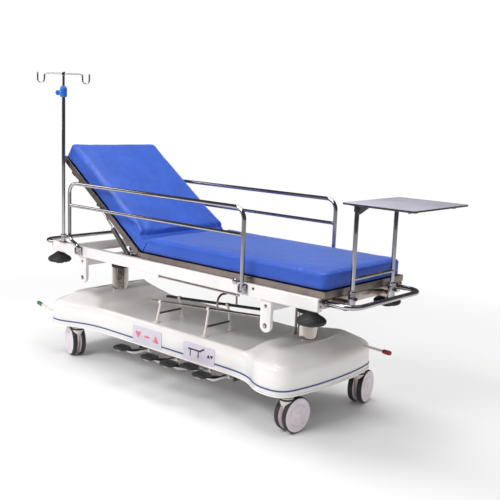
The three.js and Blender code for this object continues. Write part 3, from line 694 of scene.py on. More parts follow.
def columns():
    for end, _ in ENDS:
        low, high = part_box(f"{end}_column_sleeve")
        x, y = (low.x + high.x) / 2, (low.y + high.y) / 2
        outer, bore, flange = 0.045, 0.0365, 0.059
        profile = [(bore, low.z), (flange, low.z), (flange, low.z + 0.008), (outer, low.z + 0.008),
                   (outer, high.z - 0.017), (bore, high.z - 0.017)]
        collar = [(bore, high.z - 0.0168), (outer + 0.004, high.z - 0.0168), (outer + 0.004, high.z - 0.002),
                  (outer, high.z), (bore, high.z)]
        shape = Shape(f"{end}_sleeve")
        shape.add(lathe(profile, (x, y, 0), segments=72, closed=True, soften=0.0012), COLUMN)
        shape.add(lathe(collar, (x, y, 0), segments=72, closed=True, soften=0.0015), BLACK)
        shape.build("base", "chrome_tube", f"{end}_column_sleeve")
        low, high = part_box(f"{end}_mid_tube")
        radius = (high.y - low.y) / 2
        shape = Shape(f"{end}_stage")
        profile = [(0.0265, low.z), (radius, low.z), (radius, high.z), (0.0265, high.z)]
        shape.add(lathe(profile, (x, y, 0), segments=64, closed=True, soften=0.0015), COLUMN)
        if end == "foot":
            guide = low.x + 0.012
            shape.add(disc(0.006, (guide, y, 0.230), (guide, y, high.z - 0.004)), BRUSHED)
            bridge = oblong(low.x, x - radius + 0.003, y - 0.010, y + 0.010)
            shape.add(plate(bridge, high.z - 0.010, high.z - 0.002, "XY", 0.001, 0.004), DARK_STEEL)
        shape.build("lift", "chrome_tube", f"{end}_mid_tube")
        low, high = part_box(f"{end}_piston")
        profile = [(0, low.z), (0.026, low.z), (0.026, high.z - 0.008), (0.032, high.z - 0.008),
                   (0.032, high.z), (0, high.z)]
        shape = Shape(f"{end}_ram")
        shape.add(lathe(profile, (x, y, 0), segments=56, soften=0.0015), COLUMN)
        shape.build(f"{end}_piston", "chrome_tube", f"{end}_piston")


# ---------------------------------------------------------------- castors
WHEEL_RADIUS = 0.080
WHEEL_WIDTH = 0.025
WHEEL_OFFSET = 0.023
TYRE_DEPTH = 0.006


def castor_place(name):
    """A matrix whose origin is on the floor under the stem, with X pointing away from the wheels."""
    stem, wheel = pivot(f"swivel_{name}"), pivot(f"spin_{name}")
    away = stem - wheel
    turn = Matrix.Rotation(math.atan2(away.y, away.x), 4, "Z")
    return Matrix.Translation((stem.x, stem.y, 0)) @ turn, Vector((away.x, away.y)).length


def wheel_parts(shape, place, trail, side):
    centre = Vector((-trail, side * WHEEL_OFFSET, WHEEL_RADIUS))
    out = Vector((0, side, 0))
    half = WHEEL_WIDTH / 2
    rim = WHEEL_RADIUS - TYRE_DEPTH
    tyre = [(rim, -half + 0.001), (WHEEL_RADIUS - 0.004, -half), (WHEEL_RADIUS - 0.0008, -half * 0.55),
            (WHEEL_RADIUS, 0), (WHEEL_RADIUS - 0.0008, half * 0.55), (WHEEL_RADIUS - 0.004, half),
            (rim, half - 0.001)]
    hub = [(0.009, -half), (rim, -half), (rim + 0.0004, half), (rim - 0.004, half + 0.0015),
           (0.052, half + 0.0005), (0.050, half - 0.002), (0.046, half - 0.002), (0.044, half + 0.0015),
           (0.020, half + 0.003), (0.009, half + 0.003)]
    cap = [(0, half), (0.0135, half), (0.0135, half + 0.0045), (0.010, half + 0.006), (0, half + 0.0065)]
    shape.add(lathe(tyre, centre, out, 64, closed=True, soften=0.003), TYRE, place)
    shape.add(lathe(hub, centre, out, 64, closed=True, soften=0.0015), LILAC, place)
    shape.add(lathe(cap, centre, out, 40, soften=0.001), CREAM, place)


def castors():
    for end, _ in ENDS:
        for side, _ in SIDES:
            name = f"{end}_{side}"
            place, trail = castor_place(name)
            shape = Shape(f"wheels_{name}")
            for sign in (-1, 1):
                wheel_parts(shape, place, trail, sign)
            axle = disc(0.008, (-trail, -WHEEL_OFFSET, WHEEL_RADIUS), (-trail, WHEEL_OFFSET, WHEEL_RADIUS))
            shape.add(axle, BRUSHED, place)
            shape.build(f"wheels_{name}", "tyre_rubber", f"castor_wheels_{name}")
            castor_housing(name, place, trail)


def castor_housing(name, place, trail):
    shape = Shape(f"housing_{name}")
    body = [(-trail + 0.055 * math.cos(a * math.pi / 18),
        WHEEL_RADIUS + 0.055 * math.sin(a * math.pi / 18)) for a in range(9, 30)]
    neck = [(0.004, 0.050), (0.016, 0.104), (0.020, 0.140), (-0.022, 0.140), (-0.034, 0.132)]
    shape.add(plate(body + neck, -0.0075, 0.0075, "XZ", 0.002, 0.004, 2), CREAM, place)
    bell = [(0, 0.168), (0.017, 0.168), (0.018, 0.164), (0.029, 0.162), (0.030, 0.146), (0.027, 0.128),
        (0.012, 0.118), (0, 0.118)]
    shape.add(lathe(bell, (0, 0, 0), UP, 48, soften=0.003), CREAM, place)
    shape.add(ring(0.0308, 0.027, (0, 0, 0.1490), (0, 0, 0.1570)), BLACK, place)
    shape.add(disc(0.014, (0, 0, 0.150), (0, 0, 0.200)), DARK_STEEL, place)
    shape.build(f"castor_{name}", "castor_plastic", f"castor_housing_{name}")


# ---------------------------------------------------------------- pedals and lock levers
PEDAL_PAD = Vector((0.084, 0.068, 0.016))


def pedal(number):
    low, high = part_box(f"pedal_{number}")
    hub = pivot(f"pedal_{number}_press")
    pad_y, pad_z = low.y + PEDAL_PAD.y / 2, high.z
    shape = Shape(f"foot_pedal_{number}")
    underside = pad_z - PEDAL_PAD.z
    ramp = pad_y + 0.060
    arm = [(hub.y + 0.004, hub.z - 0.007), (hub.y + 0.004, hub.z + 0.007), (ramp, hub.z + 0.007),
           (pad_y + 0.026, underside + 0.002), (pad_y - 0.024, underside + 0.002),
           (pad_y - 0.024, underside - 0.006), (pad_y + 0.022, underside - 0.006),
           (ramp - 0.004, hub.z - 0.006)]
    bends = [0.002, 0.002, 0.028, 0.022, 0.002, 0.002, 0.022, 0.028]
    shape.add(plate(eased(arm, bends, 6, closed=True), hub.x - 0.013, hub.x + 0.013, "YZ", 0.0018), WHITE)
    shape.add(ring(0.017, 0.0106, hub - Vector((0.018, 0, 0)), hub + Vector((0.018, 0, 0))), WHITE)
    outline = oblong(hub.x - PEDAL_PAD.x / 2, hub.x + PEDAL_PAD.x / 2, pad_y - PEDAL_PAD.y / 2,
        pad_y + PEDAL_PAD.y / 2)
    shape.add(plate(outline, underside, pad_z - 0.0022, "XY", 0.0045, 0.026, 8), BLACK)
    for step in range(-2, 3):
        x = hub.x + step * 0.013
        half = 0.024 - abs(step) * 0.002
        rib = oblong(x - 0.0026, x + 0.0026, pad_y - half, pad_y + half)
        shape.add(plate(rib, pad_z - 0.004, pad_z, "XY", 0.0012, 0.0024), BLACK)
    shape.build(f"pedal_{number}", "black_rubber", f"pedal_{number}")


# Each lock lever's offset along its shaft, and the rise of its tip.
LOCK_LEVERS = {"head": (-0.260, 0.036), "foot": (0.246, -0.006)}


def lock_lever(end):
    low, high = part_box(f"lock_lever_{end}")
    joint = pivot(f"lock_lever_{end}_press")
    head = end == "head"
    y = joint.y + LOCK_LEVERS[end][0]
    grip = GREEN if head else RED
    tip = Vector((low.x + 0.0015 if head else high.x, y, joint.z + LOCK_LEVERS[end][1]))
    root = Vector((joint.x, y, joint.z))
    heading = (tip - root).normalized()
    side = Vector((0, (high.y - low.y) / 2, 0))
    shape = Shape(f"lock_bar_{end}")
    shape.add(disc(0.007, joint - side, joint + side), BRUSHED)
    shape.add(disc(0.013, root - Vector((0, 0.013, 0)), root + Vector((0, 0.013, 0))), DARK_STEEL)
    shape.add(sweep([root, tip - heading * 0.030], 0.006), CREAM)
    profile = [(0, 0), (0.0085, 0), (0.0105, 0.006), (0.0112, 0.034), (0.0085, 0.043), (0, 0.0445)]
    shape.add(lathe(profile, tip - heading * 0.0445, heading, 36, soften=0.002), grip)
    shape.build(f"lock_lever_{end}", "chrome_tube", f"lock_lever_{end}")


# ---------------------------------------------------------------- rails, saddles and cross members
RAIL_WALL = 0.003
RAIL_OUT = 0.310           # from the middle to a rail's outer face
RAIL_DEPTH = 0.030
CLAMP_OUT = 0.026
GUARD_RADIUS = 0.0095


def guard_posts():
    """X of the two guard legs: where the loop's legs meet the rail."""
    low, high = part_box("side_guard_near")
    return low.x + GUARD_RADIUS + 0.072, high.x - 0.020


def side_rail(side, sign):
    low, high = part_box(f"side_rail_{side}")
    centre = middle_of("seat_frame").y
    outer = centre + sign * RAIL_OUT
    inner = outer - sign * RAIL_DEPTH
    lip = outer - sign * RAIL_WALL
    outline = [(outer, low.z), (outer, high.z), (inner, high.z), (inner, high.z - RAIL_WALL),
               (lip, high.z - RAIL_WALL), (lip, low.z + RAIL_WALL), (inner, low.z + RAIL_WALL),
               (inner, low.z)]
    bends = [0.005, 0.005, 0.001, 0.001, 0.003, 0.003, 0.001, 0.001]
    shape = Shape(f"rail_{side}")
    shape.add(plate(eased(outline, bends, 5, closed=True), low.x, high.x, "YZ", 0.0008), WHITE)
    for x, inward in ((low.x, 1), (high.x, -1)):
        cap = oblong(min(inner, outer) + 0.0015, max(inner, outer) - 0.0015, low.z + 0.0015, high.z - 0.0015)
        ends = sorted((x - inward * 0.0012, x + inward * 0.004))
        shape.add(plate(cap, ends[0], ends[1], "YZ", 0.0012, 0.004), CREAM)
    for x in guard_posts():
        clamp(shape, x, outer, sign, pivot(f"guard_{side}_fold").z)
    hole = Vector((guard_posts()[1] + 0.052, outer, high.z - 0.016))
    shape.add(ring(0.0062, 0.0040, hole, hole + Vector((0, sign * 0.0012, 0)), 24, 0.0003), DARK_STEEL)
    plug = (hole - Vector((0, sign * 0.001, 0)), hole + Vector((0, sign * 0.0006, 0)))
    shape.add(disc(0.0040, *plug, 24, 0.0002), BLACK)
    shape.build("platform", "white_paint", f"side_rail_{side}")


def clamp(shape, x, outer, sign, z):
    """A forked bracket on the rail that holds one guard leg, with its screws."""
    shape.add(block((x - 0.022, outer - sign * 0.001, z - 0.026),
        (x + 0.022, outer + sign * 0.004, z + 0.021), 0.0012), CHROME)
    for offset in (-0.015, 0.015):
        cheek = [(outer, z - 0.019), (outer + sign * (CLAMP_OUT - 0.004), z - 0.019),
                 (outer + sign * CLAMP_OUT, z - 0.010), (outer + sign * CLAMP_OUT, z + 0.012),
                 (outer + sign * (CLAMP_OUT - 0.006), z + 0.019), (outer, z + 0.019)]
        shape.add(plate(cheek, x + offset - 0.0025, x + offset + 0.0025, "YZ", 0.0008, 0.003), CHROME)
    for dz in (-0.019, 0.014):
        start = Vector((x, outer + sign * 0.0035, z + dz))
        shape.add(disc(0.0045, start, start + Vector((0, sign * 0.003, 0)), 20, 0.001), CHROME)


def saddle(end):
    low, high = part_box(f"{end}_saddle")
    x, y = (low.x + high.x) / 2, (low.y + high.y) / 2
    shape = Shape(f"{end}_hanger")
    beam = (pivot("head_raise").z - 0.020, pivot("head_raise").z + 0.020)
    inside = 0.284
    for edge in (-1, 1):
        shape.add(block((x + edge * 0.023, y - inside, beam[0]), (x + edge * 0.016, y + inside, beam[1]),
            0.001), WHITE)
    shape.add(block((x - 0.023, y - inside, beam[1] - 0.006), (x + 0.023, y + inside, beam[1]), 0.001), WHITE)
    for sign in (-1, 1):
        y0, y1 = sorted((y + sign * 0.280, y + sign * 0.300))
        radius = 0.029
        outline = [(x + radius, high.z), (x - radius, high.z)]
        for s in range(17):
            angle = math.pi * s / 16
            outline.append((x - radius * math.cos(angle), low.z + radius - radius * math.sin(angle)))
        shape.add(plate(outline, y0, y1, "XZ", 0.003), WHITE)
        face = y + sign * 0.300
        for z, size in ((low.z + radius, 0.0115), (beam[0] + 0.020, 0.008)):
            start = Vector((x, face - sign * 0.001, z))
            shape.add(disc(size, start, start + Vector((0, sign * 0.0022, 0)), 28, 0.0008), BRUSHED)
            shape.add(disc(size * 0.55, start, start + Vector((0, sign * 0.0052, 0)), 6, 0.0008), CHROME)
    shape.build("platform", "white_paint", f"{end}_saddle")


def cross_members():
    low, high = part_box("head_cross_member")
    bar = Shape("head_crossbar").add(block(low, high, 0.003), WHITE)
    bar.build("platform", "white_paint", "head_cross_member")
    low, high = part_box("foot_cross_member")
    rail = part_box("head_cross_member")
    shape = Shape("foot_crossbar")
    shape.add(block((low.x, rail[0].y, rail[0].z), (low.x + 0.029, rail[1].y, rail[1].z), 0.003), SHADED_WARM_CHROME)
    x = table_post_x()
    for sign in (-1, 1):
        y = middle_of("table_frame").y + sign * TABLE_POST_HALF
        shape.add(ring(0.016, 0.0100, (x, y, rail[0].z + 0.001), (x, y, high.z), soften=0.0015), CHROME)
        shape.add(ring(0.0175, 0.0150, (x, y, high.z - 0.012), (x, y, high.z - 0.001), soften=0.001), CHROME)
        shape.add(block((x - 0.020, y - 0.016, low.z), (x + 0.016, y + 0.016, low.z + 0.009), 0.002),
            SHADED_WARM_CHROME)
        shape.add(block((low.x + 0.027, y - 0.012, rail[0].z + 0.001),
            (x - 0.012, y + 0.012, rail[0].z + 0.029), 0.002), SHADED_WARM_CHROME)
        shape.add(disc(0.007, (x + 0.014, y, high.z - 0.030), (x + 0.024, y, high.z - 0.030), 24), BLACK)
    shape.build("platform", "white_paint", "foot_cross_member")


def push_handle(end, sign):
    low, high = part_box(f"push_handle_{end}")
    y = (low.y + high.y) / 2
    radius, half = 0.011, 0.262
    start = high.x if end == "head" else low.x
    reach = (low.x + radius) if end == "head" else (high.x - radius)
    z = low.z + 0.016
    path = bent([(start, y - half, z), (reach, y - half, z), (reach, y + half, z), (start, y + half, z)],
        0.070, 14)
    shape = Shape(f"{end}_handle")
    shape.add(sweep(path, radius, 28), CHROME)
    for side in (-1, 1):
        outer, inner = y + side * 0.309, y + side * (half - 0.016)
        outline = oblong(min(outer, inner), max(outer, inner), low.z, high.z)
        plates = sorted((start, start + sign * 0.006))
        shape.add(plate(outline, plates[0], plates[1], "YZ", 0.0012, 0.005), CHROME)
        collar = Vector((start + sign * 0.005, y + side * half, z))
        shape.add(ring(0.0150, 0.0105, collar, collar + Vector((sign * 0.009, 0, 0)), soften=0.002), CHROME)
        for dz in (-0.009, 0.009):
            bolt = Vector((start + sign * 0.0055, y + side * 0.298, z + dz))
            shape.add(disc(0.0042, bolt, bolt + Vector((sign * 0.0035, 0, 0)), 6, 0.0006), BRUSHED)
    shape.build("platform", "chrome_tube", f"push_handle_{end}")


def bumper(end, side):
    node = f"bumper_{end}_{side}"
    low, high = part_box(node)
    x, y = (low.x + high.x) / 2, (low.y + high.y) / 2
    outer = (high.x - low.x) / 2
    z = low.z + 0.026
    profile = [(0, -0.026), (0.020, -0.026), (0.023, -0.019), (outer - 0.006, -0.015), (outer, -0.008),
               (outer, 0.002), (outer - 0.007, 0.010), (0.042, 0.018), (0.030, 0.025), (0.021, 0.034),
               (0.0130, 0.0365), (0.0125, high.z - z), (0, high.z - z)]
    shape = Shape(f"{end}_{side}_buffer")
    shape.add(lathe(profile, (x, y, z), UP, 64, soften=0.003), BLACK)
    shape.add(ring(outer + 0.0003, outer - 0.003, (x, y, z - 0.0022), (x, y, z + 0.0004), 64, 0.0005), TYRE)
    shape.add(disc(0.009, (x, y, z - 0.028), (x, y, z - 0.024), 6, 0.001), BRUSHED)
    shape.build(node, "black_rubber", node)


# ---------------------------------------------------------------- guards
GUARD_BENDS = [0.014, 0.046, 0.052, 0.052]      # radii, from the head-end leg round to the foot


def side_guard(side, sign):
    low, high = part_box(f"side_guard_{side}")
    hinge = pivot(f"guard_{side}_fold")
    y, radius = hinge.y, GUARD_RADIUS
    head, top = low.x + radius, high.z - radius
    head_leg = guard_posts()[0]
    foot_top = high.x - 0.020
    foot_z = hinge.z - 0.006
    corners = [(head_leg, y, foot_z), (head_leg, y, hinge.z + 0.027), (head, y, hinge.z + 0.056),
               (head, y, top), (foot_top, y, top), (foot_top, y, foot_z)]
    loop = bent(corners, GUARD_BENDS, 12)
    middle = hinge.z + 0.233
    shape = Shape(f"guard_{side}")
    shape.add(sweep(loop, radius, 26), CHROME)
    shape.add(sweep([(head, y, middle), (foot_top, y, middle)], radius - 0.001, 24), CHROME)
    for x, inward in ((head, 1), (foot_top, -1)):
        collar = Vector((x + inward * 0.007, y, middle))
        shape.add(ring(0.0105, 0.008, collar, collar + Vector((inward * 0.006, 0, 0)), 32, 0.0015), CHROME)
    for x in (head_leg, foot_top):
        shape.add(disc(0.004, (x - 0.020, y, hinge.z), (x + 0.020, y, hinge.z), 24, 0.001), BRUSHED)
    knob = [(0, 0), (0.006, 0), (0.006, 0.004), (0.0125, 0.006), (0.0135, 0.012), (0.0115, 0.018), (0, 0.020)]
    start = Vector((foot_top - 0.030, y, hinge.z + 0.030))
    shape.add(lathe(knob, start, (0, sign, 0), 40, soften=0.002), CHROME)
    shape.add(disc(0.0045, start, (foot_top, y, hinge.z + 0.030), 20, 0.001), CHROME)
    shape.build(f"guard_{side}", "chrome_tube", f"side_guard_{side}")


# ---------------------------------------------------------------- drip stand
POLE_RADIUS = 0.009


def drip_stand():
    low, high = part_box("drip_pole")
    x, y = (low.x + high.x) / 2, (low.y + high.y) / 2
    shape = Shape("drip_tube")
    shape.add(ring(POLE_RADIUS, POLE_RADIUS - 0.0022, (x, y, low.z), (x, y, high.z)), CHROME)
    shape.build("platform", "chrome_tube", "drip_pole")
    base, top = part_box("drip_pole_socket")
    shape = Shape("drip_socket")
    shape.add(block((base.x, base.y, base.z), (top.x, top.y, base.z + 0.005), 0.0012), BRUSHED)
    shape.add(ring(0.0135, POLE_RADIUS + 0.0004, (x, y, base.z + 0.004), (x, y, top.z)), CHROME)
    shape.add(ring(0.0150, 0.0120, (x, y, top.z - 0.010), (x, y, top.z + 0.001)), CHROME)
    for dx in (-0.018, 0.018):
        shape.add(disc(0.0042, (x + dx, y, base.z + 0.004), (x + dx, y, base.z + 0.0085), 6, 0.0006), BRUSHED)
    shape.build("platform", "stainless", "drip_pole_socket")
    drip_collar(x, y)
    drip_hooks(x, y)


def drip_collar(x, y):
    low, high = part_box("drip_pole_collar")
    knob_low, knob_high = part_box("drip_pole_knob")
    knob = (knob_low + knob_high) / 2
    outer = 0.018
    profile = [(0.0094, low.z), (outer - 0.002, low.z), (outer, low.z + 0.006), (outer, high.z - 0.012),
               (0.012, high.z), (0.0070, high.z), (0.0070, high.z - 0.0193), (0.0094, high.z - 0.0197)]
    shape = Shape("drip_collar")
    shape.add(lathe(profile, (x, y, 0), UP, 48, closed=True, soften=0.002), BLUE)
    shape.add(disc(0.0095, (x - outer + 0.003, y, knob.z), (low.x, y, knob.z), 32), BLUE)
    shape.build("platform", "blue_plastic", "drip_pole_collar")
    lobes = 6
    outline = []
    for s in range(72):
        angle = 2 * math.pi * s / 72
        radius = 0.0125 + 0.0015 * math.cos(lobes * angle)
        outline.append((knob.y + radius * math.cos(angle), knob.z + radius * math.sin(angle)))
    shape = Shape("drip_knob")
    shape.add(plate(outline, knob_low.x, knob_high.x - 0.006, "YZ", 0.003), BLUE)
    shape.add(disc(0.006, (knob_high.x, knob.y, knob.z), (knob_high.x - 0.008, knob.y, knob.z), 32), BRUSHED)
    shape.build("pole_knob", "blue_plastic", "drip_pole_knob")


def drip_hooks(x, y):
    """A crossbar whose ends drop and turn up again into open hooks."""
    low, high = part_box("drip_hook_rod")
    span = Vector((high.x - low.x, high.y - low.y)).length / 2 - 0.004
    reach = Vector(((high.x - low.x), (high.y - low.y))).normalized()
    top = high.z - 0.012
    radius = 0.004

    def at(along, z):
        return Vector((x + reach.x * along, y + reach.y * along, z))

    shape = Shape("drip_hooks")
    shape.add(disc(0.0064, (x, y, low.z), (x, y, high.z - 0.004), 40, 0.002), CHROME)
    for sign in (-1, 1):
        corners = [at(0, top), at(sign * (span - 0.036), top), at(sign * (span - 0.034), top - 0.046),
                   at(sign * span, top - 0.046), at(sign * span, top)]
        shape.add(sweep(bent(corners, [0.010, 0.0155, 0.0155], 12), radius, 18), CHROME)
        end = at(sign * span, top)
        angles = [math.pi * s / 10 for s in range(11)]
        ball = [(0.0052 * math.sin(angle), -0.0052 * math.cos(angle)) for angle in angles]
        shape.add(lathe([(max(r, 0), h) for r, h in ball], end, UP, 24), CHROME)
    shape.add(ring(0.0082, 0.0060, (x, y, high.z - 0.022), (x, y, high.z - 0.002), 32, 0.002), CHROME)
    shape.build("hook_rod", "chrome_tube", "drip_hook_rod")


# ---------------------------------------------------------------- foot table
TABLE_POST_HALF = 0.149
TABLE_BAR_UP = 0.1177          # from the foot of the posts to the cross bar


def table_post_x():
    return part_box("table_frame")[0].x + 0.025


def foot_table():
    low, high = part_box("table_frame")
    y = (low.y + high.y) / 2
    top_low, top_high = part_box("table_top")
    x = table_post_x()
    shape = Shape("table_stand")
    for sign in (-1, 1):
        side = y + sign * TABLE_POST_HALF
        shape.add(disc(0.0095, (x, side, low.z), (x, side, high.z - 0.004), 32), CHROME)
        shape.add(block((low.x, side - 0.010, high.z - 0.008), (high.x, side + 0.010, high.z), 0.0015), BLACK)
        bracket = [(x, high.z - 0.042), (x + 0.012, high.z - 0.042), (x + 0.060, high.z - 0.006),
            (x, high.z - 0.006)]
        shape.add(plate(bracket, side - 0.003, side + 0.003, "XZ", 0.0008, 0.006), DARK_STEEL)
        for along in (low.x + 0.030, high.x - 0.030):
            shape.add(disc(0.0065, (along, side, high.z - 0.0115), (along, side, high.z - 0.007), 24,
                0.001), BRUSHED)
        shape.add(ring(0.0125, 0.0093, (x, side, high.z - 0.030), (x, side, high.z - 0.008), 32, 0.002),
            BLACK)
    bar_z = low.z + TABLE_BAR_UP
    ends = ((x, y - TABLE_POST_HALF, bar_z), (x, y + TABLE_POST_HALF, bar_z))
    shape.add(disc(0.008, *ends, 32, 0.0005), CHROME)
    shape.build("table", "chrome_tube", "table_frame")
    outline = eased(oblong(top_low.x, top_high.x, top_low.y, top_high.y), 0.016, 8, closed=True)
    shape = Shape("table_sheet")
    shape.add(plate(shrunk(outline, 0.0012), top_low.z + 0.0002, top_high.z, "XY", 0.0006), ACRYLIC)
    shape.build("table", "smoked_acrylic", "table_top")
    rim = Shape("table_rim")
    rim.add(band(shrunk(outline, 0.0011), top_low.z + 0.0006, top_high.z - 0.0004, 0.0011), ACRYLIC_EDGE)
    rim.build("table", "smoked_acrylic")


# ---------------------------------------------------------------- bottle cradle, strut and release lever
CRADLE_SLOPE = math.tan(math.radians(4.8))


def bottle_cradle():
    centre = pivot("pedal_2_press").x
    y = middle_of("base_cover").y
    floor_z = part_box("base_cover")[1].z - COVER_STEP
    middle_z = floor_z + 0.112

    def at(x, side):
        return Vector((centre + x, y + side, middle_z + x * CRADLE_SLOPE))

    shape = Shape("cradle")
    near, far = -0.200, -0.070
    shape.add(sweep([at(-0.190, near), at(0.540, near)], 0.007, 24), SHADED_WARM_CHROME)
    shape.add(sweep([at(-0.225, far), at(0.420, far)], 0.007, 24), BLACK)
    for x in (-0.130, 0.205):
        for side, lean in ((near, -0.024), (far, 0.024)):
            foot = Vector((centre + x, y + side + lean, floor_z + 0.001))
            shape.add(sweep([at(x, side), foot], 0.006, 24), CREAM)
            shape.add(lathe([(0, 0), (0.017, 0), (0.017, 0.003), (0.010, 0.006), (0, 0.006)], foot, UP, 32,
                soften=0.001), CREAM)
            collar = Vector((0.008, 0, 0))
            shape.add(ring(0.0098, 0.0066, at(x, side) - collar, at(x, side) + collar, 28), CREAM)
        bar = floor_z + 0.045
        shape.add(sweep([(centre + x, y + near - 0.015, bar), (centre + x, y + far + 0.015, bar)], 0.005,
            20), DARK_STEEL)
    rise = Vector((0, 0, floor_z + 0.205 - at(0.260, 0).z))
    hoop = bent([at(0.260, near), at(0.260, near) + rise, at(0.260, far) + rise, at(0.260, far)], 0.060, 12)
    shape.add(sweep(hoop, 0.005, 20), BRUSHED)
    shape.build("base", "stainless", "bottle_cradle")


def gas_strut():
    foot = pivot("strut_pivot")
    heading = axis("strut_stroke").normalized()
    low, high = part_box("strut_rod")
    head = Vector((low.x + 0.010, foot.y, high.z - 0.010))
    length = (head - foot).length
    across = Vector((0, 1, 0))
    shape = Shape("strut_barrel")
    mouth = length * 0.54
    barrel = [(0, 0.010), (0.0085, 0.010), (0.012, 0.018), (0.012, mouth - 0.004), (0.0105, mouth),
              (0.0056, mouth), (0.0056, length * 0.07), (0, length * 0.07)]
    shape.add(lathe(barrel, foot, heading, 40, soften=0.0015), DARK_STEEL)
    shape.add(ring(0.012, 0.0052, foot - across * 0.008, foot + across * 0.008, 32, 0.001), DARK_STEEL)
    shape.add(disc(0.0050, foot - across * 0.010, foot + across * 0.018, 24), BRUSHED)
    shape.build("strut_cylinder", "chassis_steel", "strut_cylinder")
    shape = Shape("strut_piston")
    shape.add(disc(0.005, foot + heading * length * 0.285, head - heading * 0.006, 28), CHROME)
    shape.add(ring(0.010, 0.0045, head - across * 0.008, head + across * 0.008, 32, 0.001), DARK_STEEL)
    shape.build("strut_rod", "chrome_tube", "strut_rod")


def release_lever():
    joint = FLAT_TURN @ pivot("release_squeeze")
    low, high = corners_of("release_lever", FLAT_TURN)
    shape = Shape("release_handle")
    bar = [(joint.x + 0.006, high.z - 0.012), (joint.x + 0.006, high.z - 0.002),
           (low.x + 0.040, high.z - 0.004), (low.x + 0.002, low.z + 0.012),
           (low.x, low.z + 0.002), (low.x + 0.044, low.z + 0.006)]
    shape.add(plate(bar, joint.y - 0.006, joint.y + 0.006, "XZ", 0.0015, 0.006), BLACK, BACK_TURN)
    shape.add(disc(0.0115, joint - Vector((0, 0.008, 0)), joint + Vector((0, 0.008, 0)), 32), DARK_STEEL,
        BACK_TURN)
    grip = eased(oblong(low.x, low.x + 0.034, low.y + 0.001, high.y - 0.001), 0.006, 4, closed=True)
    shape.add(plate(grip, low.z + 0.001, low.z + 0.014, "XY", 0.004), BLACK, BACK_TURN)
    shape.build("release_lever", "black_rubber", "release_lever")


# ---------------------------------------------------------------- CAD nodes kept, with eased edges
WELD_GAP = 0.00002


def keep(node, material, bevel=0.0012):
    obj = frame["nodes"][node]
    obj.data.materials.clear()
    obj.data.materials.append(material)
    weld = obj.modifiers.new("weld", "WELD")
    weld.merge_threshold = WELD_GAP
    ease = obj.modifiers.new("ease", "BEVEL")
    ease.width = bevel
    ease.segments = 2
    ease.limit_method = "ANGLE"
    ease.angle_limit = math.radians(35)
    ease.harden_normals = False
    for polygon in obj.data.polygons:
        polygon.use_smooth = False


def kept_nodes():
    for node in ("seat_frame", "back_frame"):
        keep(node, BRUSHED, 0.0022)
    for node in ("back_hinge_pin", "head_trunnion", "pedal_shaft"):
        keep(node, BRUSHED, 0.0006)
    for node in ("seat_board", "back_board"):
        keep(node, LAMINATE, 0.0008)
    keep("chassis", DARK_STEEL, 0.0015)


def tie_rod():
    low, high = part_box("rail_tie_rod_near")
    y, z = (low.y + high.y) / 2, low.z + 0.005
    shape = Shape("rail_rod_near")
    shape.add(disc(0.005, (low.x + 0.004, y, z), (high.x - 0.004, y, z), 24), SHADED_WARM_CHROME)
    for x in (low.x + 0.006, high.x - 0.006):
        shape.add(block((x - 0.006, y - 0.006, low.z), (x + 0.006, y + 0.006, high.z), 0.001), SHADED_WARM_CHROME)
    shape.build("platform", "chassis_steel", "rail_tie_rod_near")


# ---------------------------------------------------------------- cushions
VOXEL = 0.006
PUFF_LIMIT = 0.010
SIM_FRAMES = 20
FOLD_LEAN = math.radians(35)       # each cushion's end slopes by this much at the fold


def evaluated_mesh(obj):
    graph = bpy.context.evaluated_depsgraph_get()
    return bpy.data.meshes.new_from_object(obj.evaluated_get(graph))


def baked(obj):
    """Turns the object's modifiers into its own mesh."""
    mesh = evaluated_mesh(obj)
    obj.modifiers.clear()
    obj.data = mesh
    return obj


def inflated(obj):
    """Blows the shell up as cloth under light pressure."""
    cloth = obj.modifiers.new("cloth", "CLOTH")
    settings = cloth.settings
    settings.quality = 4
    settings.mass = 0.3
    settings.tension_stiffness = 20
    settings.compression_stiffness = 20
    settings.shear_stiffness = 10
    settings.bending_stiffness = 6
    settings.use_pressure = True
    settings.uniform_pressure_force = 4
    settings.effector_weights.gravity = 0
    cloth.collision_settings.use_collision = False
    cloth.point_cache.frame_start = 1
    cloth.point_cache.frame_end = SIM_FRAMES
    scene = bpy.context.scene
    for number in range(1, SIM_FRAMES + 1):
        scene.frame_set(number)
    mesh = evaluated_mesh(obj)
    after = [v.co.copy() for v in mesh.vertices]
    obj.modifiers.clear()
    bpy.data.meshes.remove(mesh)
    scene.frame_set(1)
    return after


def cushion_shell(node, turn):
    """The CAD cushion laid flat, drawn in a little and remeshed evenly."""
    mesh = frame["nodes"][node].data.copy()
    mesh.transform(turn)
    obj = linked(f"{node}_cover", mesh)
    weld = obj.modifiers.new("weld", "WELD")
    weld.merge_threshold = WELD_GAP
    ease = obj.modifiers.new("ease", "BEVEL")
    ease.width = 0.006
    ease.segments = 3
    ease.limit_method = "ANGLE"
    ease.angle_limit = math.radians(40)
    remesh = obj.modifiers.new("remesh", "REMESH")
    remesh.mode = "VOXEL"
    remesh.voxel_size = VOXEL
    return baked(obj)


def crowned(point, low, high, amount):
    """How much a point on the top rises, fading towards the rims."""
    share_x = min(point.x - low.x, high.x - point.x) / 0.12
    share_y = min(point.y - low.y, high.y - point.y) / 0.12
    height = (point.z - low.z) / (high.z - low.z)
    return amount * smoothstep(share_x) * smoothstep(share_y) * smoothstep((height - 0.5) * 2)


def fold_creases(point, fold_x, outward, low, high):
    """Soft wrinkles that fan out from the two lower corners of the back, where the cover is bent."""
    away = abs(point.x - fold_x)
    total = 0.0
    for edge in (low.y, high.y):
        side = abs(point.y - edge)
        reach = math.hypot(away, side * 0.9)
        fade = math.exp(-((reach / 0.20) ** 2)) * smoothstep(away / 0.03)
        angle = math.atan2(side + 0.02, away + 0.01)
        total += fade * math.sin(angle * 15 + away * 22)
    return total * 0.0016 * outward


